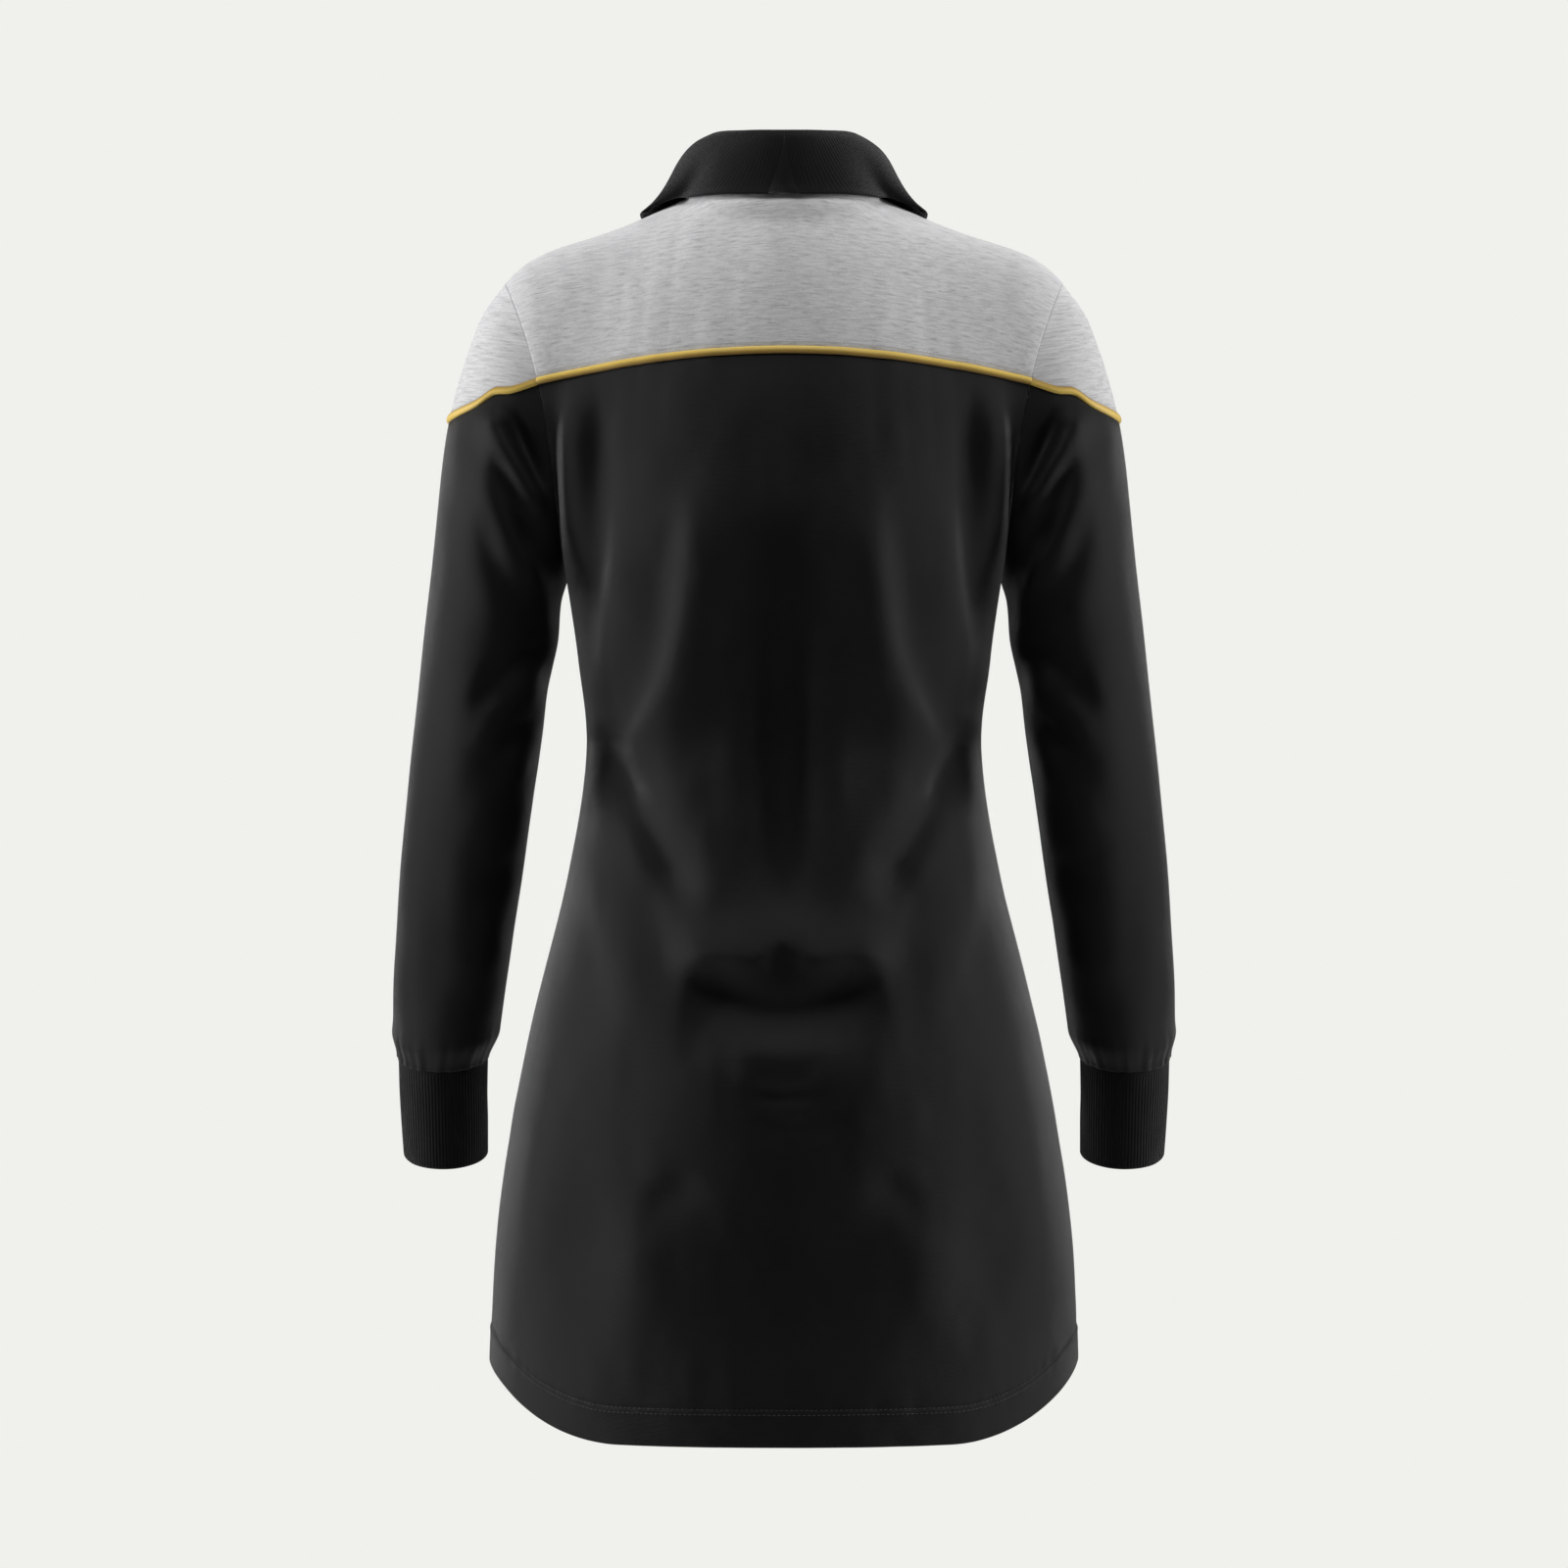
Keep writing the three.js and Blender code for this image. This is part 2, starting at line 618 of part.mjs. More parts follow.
function cuffGrid() {
  const wrist = SLEEVE[SLEEVE.length - 1];
  const centre = V((wrist.outX + wrist.inX) / 2, wrist.midY, (wrist.outZ + wrist.inZ) / 2);
  const down = V(0, -Math.sin(rad(wrist.lean)), -Math.cos(rad(wrist.lean)));
  return range(CUFF_ROWS + 1, (k) => ringAngles.map((a) => {
    const share = k / CUFF_ROWS;
    const spoke = sleevePoint(a, 1).sub(centre).multiplyScalar(lerp(1, CUFF.taper, share));
    return centre.clone().add(spoke).addScaledVector(down, CUFF.length * share);
  }));
}

for (const [side, turned] of [["left", (grid) => grid], ["right", mirrorX]]) {
  cloth(`${side}_sleeve_cap`, greyJersey, turned(capGrid()));
  cloth(`${side}_sleeve_piping`, goldTrim, turned(sleevePipingGrid()), { ridge: PIPING.proud });
  cloth(`${side}_sleeve`, blackJersey, turned(sleeveGrid()), { closed: true });
  const forearm = FOREARM_STATIONS.map((t) => ringAngles.map((a) => sleevePoint(a, lerp(ELBOW, 1, t))));
  cloth(`${side}_forearm`, blackJersey, turned(forearm), { closed: true });
  cloth(`${side}_cuff`, blackRib, turned(cuffGrid()), { closed: true, thick: CUFF_CLOTH });
}

// ---------------------------------------------------------------- collar, neck tape and size label

function upperNormal(face, u, v) {
  const step = 0.01;
  const high = Math.min(v, 1 - step);
  const nearer = upperPoint(face, Math.max(u - step, 0), high);
  const sideways = upperPoint(face, Math.min(u + step, 1), high).sub(nearer);
  const upwards = upperPoint(face, u, high + step).sub(upperPoint(face, u, high - step));
  return upwards.cross(sideways).multiplyScalar(face).normalize();
}

// One line across the collar at w, the share of the way from the centre back to the centre front:
// up the inside of the stand, over the fold and down the leaf
function collarLine(w) {
  const angle = w * Math.PI;
  const out = V(Math.sin(angle), Math.cos(angle), 0);
  const seam = ovalPoint(NECK, angle);
  const middle = ovalPoint(FOLD, angle).add(V(0, 0, -FOLD.radius));
  const rise = middle.clone().sub(seam).normalize();
  const foot = seam.clone().addScaledVector(rise, SEAM_GAP).addScaledVector(out, -CLOTH);
  const inside = middle.clone().addScaledVector(out, -FOLD.radius);
  const stand = range(3, (k) => foot.clone().lerp(inside, k / 3));
  const fold = range(5, (k) => {
    const turn = k * Math.PI / 4;
    const point = middle.clone().addScaledVector(out, -FOLD.radius * Math.cos(turn));
    return point.add(V(0, 0, FOLD.radius * Math.sin(turn)));
  });
  const face = w < 0.5 ? BACK : FRONT;
  const [u, v] = [along(LEAF, "across", w), Math.min(along(LEAF, "up", w), 1)];
  const edge = upperPoint(face, u, v).addScaledVector(upperNormal(face, u, v), LEAF_CLEAR + CLOTH);
  const top = fold[fold.length - 1];
  const length = edge.distanceTo(top);
  const flare = edge.clone().sub(seam).add(V(0, 0, -length / 2)).normalize();
  const curve = new THREE.CubicBezierCurve3(
    top,
    top.clone().addScaledVector(out, 0.25 * length).add(V(0, 0, -0.3 * length)),
    edge.clone().addScaledVector(flare, -0.35 * length),
    edge,
  );
  return [...stand, ...fold, ...range(4, (k) => curve.getPoint((k + 1) / 4))];
}

const collarLines = range(COLLAR_COLUMNS + 1, (i) => {
  const w = COLLAR_OPEN * (1 - 2 * i / COLLAR_COLUMNS);
  return collarLine(Math.abs(w)).map((p) => (w < 0 ? V(-p.x, p.y, p.z) : p));
});
const collarGrid = collarLines[0].map((_, r) => collarLines.map((line) => line[r]));
cloth("collar", blackRib, collarGrid, { sewn: false });

// Strip inside the back neck, between two distances below the neck seam
function insideNeck(name, thick, columns, from, to, depth) {
  const height = NECK.backZ - UNDERARM.at;
  const grid = [from, (from + to) / 2, to].map((drop) => columns.map((u) => {
    const [side, v] = [Math.abs(u), 1 - drop / height];
    const point = upperPoint(BACK, side, v).addScaledVector(upperNormal(BACK, side, v), -depth);
    return placed(point, u);
  })).reverse();
  cloth(name, whiteTape, grid, { thick, sewn: false });
}

const tapeColumns = allColumns.filter((u) => Math.abs(u) <= SHOULDER_START);
const tapeDepth = CLOTH + TAPE.clear;
insideNeck("neck_tape", TAPE.cloth, tapeColumns, 1, 1 + TAPE.width, tapeDepth);
const labelShare = SIZE_LABEL.width / 2 / NECK.side * SHOULDER_START * 2 / Math.PI;
const labelColumns = range(5, (i) => labelShare * (i - 2) / 2);
const labelDepth = tapeDepth + TAPE.cloth + TAPE.clear;
insideNeck("size_label", SIZE_LABEL.cloth, labelColumns, 2, 2 + SIZE_LABEL.height, labelDepth);

// ---------------------------------------------------------------- placket, buttons and care label

// Share of the half panel and of the height where the front has this x and z
function frontShares(x, z) {
  const shareUp = (u) => crossing((v) => z - upperPoint(FRONT, u, v).z, 0, 1);
  const u = crossing((t) => x - upperPoint(FRONT, t, shareUp(t)).x, 0, 1);
  return [u, shareUp(u)];
}

function frontPoint(x, z, height) {
  const [u, v] = frontShares(Math.abs(x), z);
  return placed(upperPoint(FRONT, u, v).addScaledVector(upperNormal(FRONT, u, v), height), x);
}

function placketStrip(name, height) {
  const [top, bottom] = [NECK.frontZ - 1, PLACKET.bottomZ + SEAM_GAP];
  const grid = range(9, (k) => range(5, (i) => (
    frontPoint(PLACKET.width / 2 * (1 - i / 2), lerp(bottom, top, k / 8), height)
  )));
  cloth(name, blackJersey, grid, { thick: PLACKET.cloth, sewn: false });
}

placketStrip("placket_top", PLACKET.proud);
placketStrip("placket_under", PLACKET.proud - PLACKET.cloth - PLACKET.clear);

const meshes = [];

function addMesh(name, material, geometry) {
  const mesh = new THREE.Mesh(geometry, material);
  mesh.name = name;
  meshes.push(mesh);
  return mesh;
}

function buttonGeometry() {
  const dish = BUTTON.thick - BUTTON.rim;
  const lip = BUTTON.radius - BUTTON.rimWidth;
  const outline = [
    [0, 0], [BUTTON.radius - 0.5, 0], [BUTTON.radius, 0.5], [BUTTON.radius, BUTTON.thick - 0.5],
    [BUTTON.radius - 0.5, BUTTON.thick], [lip, BUTTON.thick], [lip - 0.6, dish], [0, dish],
  ];
  const lathe = new THREE.LatheGeometry(outline.map(([r, h]) => new THREE.Vector2(r, h)), 24);
  return geometryOf(indexed(facesOf(lathe)));
}

function addButtons() {
  for (let i = 0; i < BUTTON.count; i += 1) {
    const z = NECK.frontZ - BUTTON_FIRST - i * BUTTON_PITCH;
    const seat = frontPoint(0, z, PLACKET.proud + BUTTON.shank);
    const facing = frontPoint(0, z, PLACKET.proud + BUTTON.shank + 1).sub(seat).normalize();
    const button = addMesh(`button_${i + 1}`, buttonPlastic, buttonGeometry());
    button.position.copy(seat);
    button.quaternion.setFromUnitVectors(V(0, 1, 0), facing);
  }
}

function addCareLabel() {
  const { reach, height, cloth: thick, bottomZ, clear, turn } = CARE_LABEL;
  const wall = Math.min(along(BODY, "side", bottomZ), along(BODY, "side", bottomZ + height));
  const label = addMesh("care_label", whiteTape, new THREE.BoxGeometry(thick, reach, height));
  label.geometry.translate(0, reach / 2 + 1, height / 2);
  label.position.set(wall - CLOTH - clear, 0, bottomZ);
  label.rotation.z = rad(turn);
}

addButtons();
addCareLabel();

// ---------------------------------------------------------------- the finished part

pieces.forEach((piece) => {
  piece.own = gridNormals(piece);
  piece.normals = gridNormals(piece);
});
shareSeamNormals();
pieces.forEach((piece) => {
  const mesh = indexed(clothTriangles(piece));
  addMesh(piece.name, piece.material, geometryOf(piece.cut ? withoutBox(mesh, piece.cut) : mesh));
});

const dress = new THREE.Group();
dress.position.z = -NECK.sideZ;
dress.add(...meshes);

export default dress;
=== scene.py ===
"""A long-sleeved polo dress on an unseen figure, looked at from the back: black jersey body and
sleeves, heather-grey yokes and sleeve caps, gold piping between them, rib collar and rib cuffs.

Lengths are in millimetres until a mesh is made. Heights are counted from the lowest point of the hem,
and NECK_HEIGHT is taken off them when a mesh is made, so that the pieces lie where the CAD has them.
"""

import math

import bmesh
import bpy
import numpy as np
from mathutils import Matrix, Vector


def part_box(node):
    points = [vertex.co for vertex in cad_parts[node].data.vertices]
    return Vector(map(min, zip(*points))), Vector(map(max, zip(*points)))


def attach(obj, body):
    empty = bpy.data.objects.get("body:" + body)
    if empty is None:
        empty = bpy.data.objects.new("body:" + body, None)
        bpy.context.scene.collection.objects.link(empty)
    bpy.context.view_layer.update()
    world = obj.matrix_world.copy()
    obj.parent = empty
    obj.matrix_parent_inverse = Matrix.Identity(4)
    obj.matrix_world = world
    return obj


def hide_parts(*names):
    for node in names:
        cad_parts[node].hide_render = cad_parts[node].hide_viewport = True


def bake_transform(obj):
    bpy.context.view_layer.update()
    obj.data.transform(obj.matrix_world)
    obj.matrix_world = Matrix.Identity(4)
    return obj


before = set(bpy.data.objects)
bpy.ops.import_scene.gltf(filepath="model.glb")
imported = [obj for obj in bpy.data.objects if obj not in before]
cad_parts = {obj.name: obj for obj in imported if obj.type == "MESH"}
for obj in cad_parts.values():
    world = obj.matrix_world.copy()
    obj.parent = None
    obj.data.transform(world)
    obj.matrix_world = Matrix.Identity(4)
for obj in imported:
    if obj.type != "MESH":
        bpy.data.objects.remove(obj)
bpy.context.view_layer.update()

PI = math.pi
BACK = 1
FRONT = -1

# ------------------------------------------------------------------ sizes of the dress (mm)

BODY = {
    "at": [0, 140, 270, 390, 478, 545, 598],
    "side": [211, 204, 183, 154, 141, 147, 155],
    "back": [146, 141, 133, 104, 93, 99, 106],
    "front": [138, 132, 124, 108, 100, 115, 126],
}
UNDERARM_SIDE = 155
UNDERARM_HEIGHT = 598
ROUNDNESS = 0.87
HEM_RISE = 46
HEM_LEVEL = 0.33
NECK = {"side": 68, "sideZ": 874, "backZ": 872, "backY": 50, "frontZ": 806, "frontY": -62}
NECK_HEIGHT = NECK["sideZ"]
SHOULDER = np.array([199.0, 2.0, 811.0])
SHOULDER_ROUND = 100
SHOULDER_START = 0.36
RISE = {
    BACK: {"neck": 56, "corner": 24, "end": 4, "low": 0.9, "high": 0.75, "over": 1.15},
    FRONT: {"neck": 48, "corner": 24, "end": 4, "low": 0.75, "high": 0.6, "over": 1.05},
}
ARMHOLE = {"back": 58, "front": 54, "backBow": 10, "frontBow": 14, "topBow": 0.4}
PIPING = {"backZ": 756, "frontZ": 750, "armholeZ": 737, "slope": 0.35, "width": 5}
SLEEVE = {
    "at": [0, 0.08, 0.2, 0.36, 0.5, 0.62, 0.8, 1],
    "outX": [199, 218, 239, 249, 258, 266, 279, 286],
    "outZ": [811, 782, 714, 634, 550, 472, 350, 256],
    "inX": [155, 159.2, 161.5, 168, 173, 180, 194.5, 210],
    "inZ": [598, 583, 554, 524, 484, 440, 350, 256],
    "midY": [1, 1, 1, 1, 0, -4, -34, -66],
    "deep": [56, 58, 57, 53, 49, 46, 42, 38],
    "lean": [0, 0, 0, 0, 2, 7, 17, 18],
}
SLEEVE_FADE = 0.2
CUFF = {"length": 76, "tuck": 0.86, "taper": 0.94, "tuckStart": 0.955}
FOLD = {"side": 57, "sideZ": 914, "backY": 45, "backZ": 919, "frontY": -66, "frontZ": 829}
FOLD_RADIUS = 3.4
LEAF = {
    "at": [0, 0.25, 0.5, 0.75, 1],
    "across": [0, 0.33, 0.52, 0.45, 0.28],
    "up": [0.972, 0.972, 1, 0.86, 0.68],
}
LEAF_CLEAR = 2.8
COLLAR_CLOTH = 2
COLLAR_OPEN = 0.975
PLACKET = {"width": 32, "bottomZ": 650, "proud": 1, "cloth": 1.6, "clear": 0.5}
BUTTON_RADIUS = 5.5
BUTTON_THICK = 2.4
BUTTON_SHANK = 1.3
BUTTON_HOLE = {"away": 1.15, "radius": 0.62}
BUTTON_HEIGHTS = [786, 732, 678]
SIZE_LABEL_WIDTH = 36
SIZE_LABEL_HEIGHT = 28
TAPE_WIDTH = 10

# ------------------------------------------------------------------ sizes of the cloth (mm)

JERSEY = 1.3
HEM_DEPTH = 25  # from the edge to the stitching of the turned hem
HEM_CLOTH = 2.4  # the hem is double
PIPING_CLOTH = 1.5
PIPING_PROUD = 2.1
PIPING_SUNK = 0.5  # its edges end this far below the surface
UNDER_PLACKET = -0.6  # the piping runs flat below the placket bands
PIPING_TUCK = 0.4  # each edge goes this far under the cloth beside it
CUFF_CLOTH = 3
CUFF_RIBS = 84
COLLAR_RIBS = 190
STITCH_PITCH = 3.4

BODY_COLUMNS = 161
SKIRT_ROWS = 130
UPPER_ROWS = 48
YOKE_ROWS = 44
PIPING_ROWS = 12
OVER_COLUMNS = 81
UNDER_COLUMNS = 65
SLEEVE_SPLIT = 0.45  # the sleeve is cut here, above the elbow's bend

# ------------------------------------------------------------------ numbers and vectors


def smoothstep(value, low, high):
    t = np.clip((np.asarray(value, float) - low) / (high - low), 0, 1)
    return t * t * (3 - 2 * t)


def lerp(a, b, t):
    return a + (b - a) * t


def along(table, key, at):
    """Smooth curve through one column of a table, by its "at" values."""
    ats = np.array(table["at"], float)
    values = np.array(table[key], float)
    slopes = np.empty_like(values)
    slopes[1:-1] = (values[2:] - values[:-2]) / (ats[2:] - ats[:-2])
    slopes[0] = (values[1] - values[0]) / (ats[1] - ats[0])
    slopes[-1] = (values[-1] - values[-2]) / (ats[-1] - ats[-2])
    at = np.asarray(at, float)
    i = np.clip(np.searchsorted(ats, at) - 1, 0, len(ats) - 2)
    span = ats[i + 1] - ats[i]
    t = (at - ats[i]) / span
    rise = (t**3 - 2 * t**2 + t) * slopes[i] + (t**3 - t**2) * slopes[i + 1]
    return lerp(values[i], values[i + 1], t * t * (3 - 2 * t)) + rise * span


def crossing(fall, low, high, shape):
    """Where falling functions of t cross zero."""
    a = np.full(shape, float(low))
    b = np.full(shape, float(high))
    for _ in range(36):
        middle = (a + b) / 2
        above = fall(middle) > 0
        a = np.where(above, middle, a)
        b = np.where(above, b, middle)
    return (a + b) / 2


def vectors(x, y, z):
    return np.stack(np.broadcast_arrays(np.asarray(x, float), y, z), -1)


def unit(v):
    return v / np.maximum(np.linalg.norm(v, axis=-1, keepdims=True), 1e-9)


def noise(x, y, seed):
    """Smooth values from -1 to 1 on a plane, the same on every run."""
    xi = np.floor(x)
    yi = np.floor(y)
    tx = smoothstep(x - xi, 0, 1)
    ty = smoothstep(y - yi, 0, 1)

    def corner(i, j):
        wave = np.sin((xi + i) * 127.1 + (yi + j) * 311.7 + seed * 74.7) * 43758.5453
        return 2 * (wave - np.floor(wave)) - 1

    low = lerp(corner(0, 0), corner(1, 0), tx)
    high = lerp(corner(0, 1), corner(1, 1), tx)
    return lerp(low, high, ty)


# ------------------------------------------------------------------ surface of the body


def body_point(face, u, z):
    turn = np.asarray(u) * PI / 2
    deep = along(BODY, "back" if face == BACK else "front", z)
    x = along(BODY, "side", z) * np.sin(turn) ** ROUNDNESS
    return vectors(x, face * deep * np.maximum(np.cos(turn), 0) ** ROUNDNESS, z)


def hem_height(u):
    return HEM_RISE * smoothstep(np.abs(u), HEM_LEVEL, 1)


def oval_point(oval, angle):
    depth = (oval["backY"] - oval["frontY"]) / 2
    middle = (oval["backY"] + oval["frontY"]) / 2
    c = np.cos(angle)
    behind = (oval["sideZ"] - oval["backZ"]) * c * c
    before = (oval["sideZ"] - oval["frontZ"]) * np.maximum(-c, 0) ** 1.5
    fall = np.where(c > 0, behind, before)
    return vectors(oval["side"] * np.sin(angle), middle + depth * c, oval["sideZ"] - fall)


def shoulder_point(share):
    share = np.asarray(share, float)[..., None]
    start = oval_point(NECK, PI / 2)
    full = SHOULDER_ROUND * share**4 * (1 - share)
    return lerp(start, SHOULDER, share) + full * np.array([0, 0, 1.0])


def armhole_point(angle):
    c = np.cos(angle)
    s = np.sin(angle)
    deep = np.where(s > 0, ARMHOLE["back"], ARMHOLE["front"])
    bow = np.where(s > 0, ARMHOLE["backBow"], ARMHOLE["frontBow"])
    x = (SHOULDER[0] + UNDERARM_SIDE) / 2 + c * (SHOULDER[0] - UNDERARM_SIDE) / 2
    z = (SHOULDER[2] + UNDERARM_HEIGHT) / 2 + c * (SHOULDER[2] - UNDERARM_HEIGHT) / 2
    y = SHOULDER[1] * (1 + c) / 2 + s * deep
    return vectors(x - bow * s * s * (1 + ARMHOLE["topBow"] * c), y, z)


def plain_upper(face, u, v):
    u, v = np.broadcast_arrays(np.asarray(u, float), np.asarray(v, float))
    low = body_point(face, u, np.full(u.shape, float(UNDERARM_HEIGHT)))
    rising = low - body_point(face, u, np.full(u.shape, UNDERARM_HEIGHT - 1.0))
    neck_angle = u / SHOULDER_START * PI / 2
    on_neck = u <= SHOULDER_START
    neck = oval_point(NECK, neck_angle if face == BACK else PI - neck_angle)
    share = np.clip((u - SHOULDER_START) / (1 - SHOULDER_START), 0, 1)
    top = np.where(on_neck[..., None], neck, shoulder_point(share))
    rise = RISE[face]
    sideways = np.minimum(u / SHOULDER_START, 1)
    inner = lerp(rise["neck"], rise["corner"], sideways)
    tilt = np.radians(np.where(on_neck, inner, lerp(rise["corner"], rise["end"], share)))
    reach = np.linalg.norm(low - top, axis=-1)
    hold = reach * lerp(rise["high"], rise["over"], smoothstep(sideways, 0, 1))
    arriving = vectors(0, -face * np.cos(tilt), np.sin(tilt)) * hold[..., None]
    leaving = rising * (reach * rise["low"])[..., None]
    t = v[..., None]
    middle = lerp(low, top, t * t * (3 - 2 * t))
    return middle + leaving * (t**3 - 2 * t**2 + t) + arriving * (t**3 - t**2)


def sewn_upper(face, u, v):
    """The same, drawn in to the armhole at u = 1."""
    pull = armhole_point(face * PI * (1 - v)) - plain_upper(face, np.ones(u.shape), v)
    return plain_upper(face, u, v) + pull * (np.abs(u) ** 6)[..., None]


# Steps to both sides and their weights
SOFTEN = [(-2.1, 0.06), (-1.4, 0.13), (-0.7, 0.2), (0, 0.22), (0.7, 0.2), (1.4, 0.13), (2.1, 0.06)]


def upper_point(face, u, v):
    """The back or front above the underarm (v = 0), up to the neck and shoulder (v = 1). Below the
    seams the cloth spans the corner where they meet, as a mean of the points on both sides."""
    u, v = np.broadcast_arrays(np.asarray(u, float), np.asarray(v, float))
    reach = 0.15 * smoothstep(1 - v, 0, 0.14) * smoothstep(v, 0, 0.3) * smoothstep(1 - np.abs(u), 0, 0.45)
    total = 0
    for step, weight in SOFTEN:
        at = u + step * reach
        sign = np.where(at < 0, -1.0, 1.0)
        point = sewn_upper(face, np.minimum(np.abs(at), 1), v)
        total = total + weight * vectors(point[..., 0] * sign, point[..., 1], point[..., 2])
    return total


def upper_normal(face, u, v):
    step = 0.01
    high = np.minimum(v, 1 - step)
    sideways = upper_point(face, np.minimum(u + step, 1), high) - upper_point(face, u - step, high)
    upwards = upper_point(face, u, high + step) - upper_point(face, u, high - step)
    return unit(np.cross(upwards, sideways) * face)


# ------------------------------------------------------------------ surface of the sleeve


def sleeve_point(angle, s):
    angle, s = np.broadcast_arrays(np.asarray(angle, float), np.asarray(s, float))
    c = np.cos(angle)
    d = np.sin(angle)
    lean = np.radians(along(SLEEVE, "lean", s))
    out_x, out_z = along(SLEEVE, "outX", s), along(SLEEVE, "outZ", s)
    in_x, in_z = along(SLEEVE, "inX", s), along(SLEEVE, "inZ", s)
    deep = along(SLEEVE, "deep", s)
    tuck = 1 - (1 - CUFF["tuck"]) * smoothstep(s, CUFF["tuckStart"], 1)
    ring = vectors(
        (out_x + in_x) / 2 + tuck * c * (out_x - in_x) / 2,
        along(SLEEVE, "midY", s) + tuck * d * deep * np.cos(lean),
        (out_z + in_z) / 2 + tuck * (c * (out_z - in_z) / 2 - d * deep * np.sin(lean)),
    )
    first = {key: values[0] for key, values in SLEEVE.items()}
    plain = vectors(
        (first["outX"] + first["inX"]) / 2 + c * (first["outX"] - first["inX"]) / 2,
        first["midY"] + d * first["deep"],
        (first["outZ"] + first["inZ"]) / 2 + c * (first["outZ"] - first["inZ"]) / 2,
    )
    fade = 1 - smoothstep(s, 0, SLEEVE_FADE)
    return ring + (armhole_point(angle) - plain) * fade[..., None]


# ------------------------------------------------------------------ the piping's line

PIPING_KINK = {"x": 204, "reach": 8.5, "rise": 4}  # a fold lifts it a little on each sleeve

start_angle = crossing(lambda a: armhole_point(a)[..., 2] - PIPING["armholeZ"], 0, PI, ())
PIPING_START = armhole_point(start_angle)


def straight_height(x):
    return PIPING_START[2] - PIPING["slope"] * (x - PIPING_START[0])


def piping_end(face):
    def above(a):
        p = armhole_point(face * a)
        return p[..., 2] - straight_height(p[..., 0])

    return armhole_point(face * crossing(above, 0, PI, ()))


PIPING_END = {BACK: piping_end(BACK), FRONT: piping_end(FRONT)}


def piping_height(face, x):
    end = PIPING_END[face]
    centre = PIPING["backZ"] if face == BACK else PIPING["frontZ"]
    kink = PIPING_KINK["rise"] * np.exp(-(((x - PIPING_KINK["x"]) / PIPING_KINK["reach"]) ** 2))
    level = centre - (centre - end[2]) * (x / end[0]) ** 2
    return np.where(x < end[0], level, straight_height(x) + kink * (face == BACK))


def piping_angle(face, shift):
    def above(a):
        p = armhole_point(face * a)
        return p[..., 2] - piping_height(face, p[..., 0]) - shift

    return face * crossing(above, 0, PI, ())


def piping_share(face, u, shift):
    def below(v):
        p = upper_point(face, u, v)
        return piping_height(face, p[..., 0]) + shift - p[..., 2]

    return crossing(below, 0, 1, np.shape(u))


def piping_station(angle, shift):
    def height(s):
        p = sleeve_point(angle, s)
        behind = piping_height(BACK, p[..., 0])
        before = piping_height(FRONT, p[..., 0])
        return p[..., 2] - np.where(np.sin(angle) > 0, behind, before) - shift

    found = crossing(height, 0, 0.62, np.shape(angle))
    return np.where(height(np.zeros(np.shape(angle))) <= 1e-6, 0, found)


LOW = -PIPING["width"] / 2
HIGH = PIPING["width"] / 2

# ------------------------------------------------------------------ folds


def smooth_line(points):
    table = {"at": np.linspace(0, 1, len(points)), "x": [p[0] for p in points], "z": [p[1] for p in points]}
    at = np.linspace(0, 1, 25)
    return np.stack([along(table, "x", at), along(table, "z", at)], -1)


def fold(x, z, points, height, left, right=None, ends=0.3):
    """A soft ridge along a line of points, or a hollow where the height is negative. left and right
    are its widths on the two sides of the line, and ends is the share over which it dies away."""
    right = left if right is None else right
    path = smooth_line(points)
    nearest = np.full(x.shape, np.inf)
    side = np.zeros(x.shape)
    at = np.zeros(x.shape)
    for k in range(len(path) - 1):
        a = path[k]
        way = path[k + 1] - a
        t = np.clip(((x - a[0]) * way[0] + (z - a[1]) * way[1]) / (way @ way), 0, 1)
        off_x = x - a[0] - t * way[0]
        off_z = z - a[1] - t * way[1]
        far = off_x**2 + off_z**2
        closer = far < nearest
        nearest = np.where(closer, far, nearest)
        side = np.where(closer, way[0] * off_z - way[1] * off_x, side)
        at = np.where(closer, (k + t) / (len(path) - 1), at)
    width = np.where(side > 0, left, right)
    taper = smoothstep(at, 0, ends) * smoothstep(1 - at, 0, ends)
    return height * taper * np.exp(-nearest / width**2)


def mirrored(x, z, points, height, left, right=None, ends=0.3):
    """The same fold on both sides of the centre; the points are on the +X side."""
    return fold(np.abs(x), z, points, height, left, right, ends)


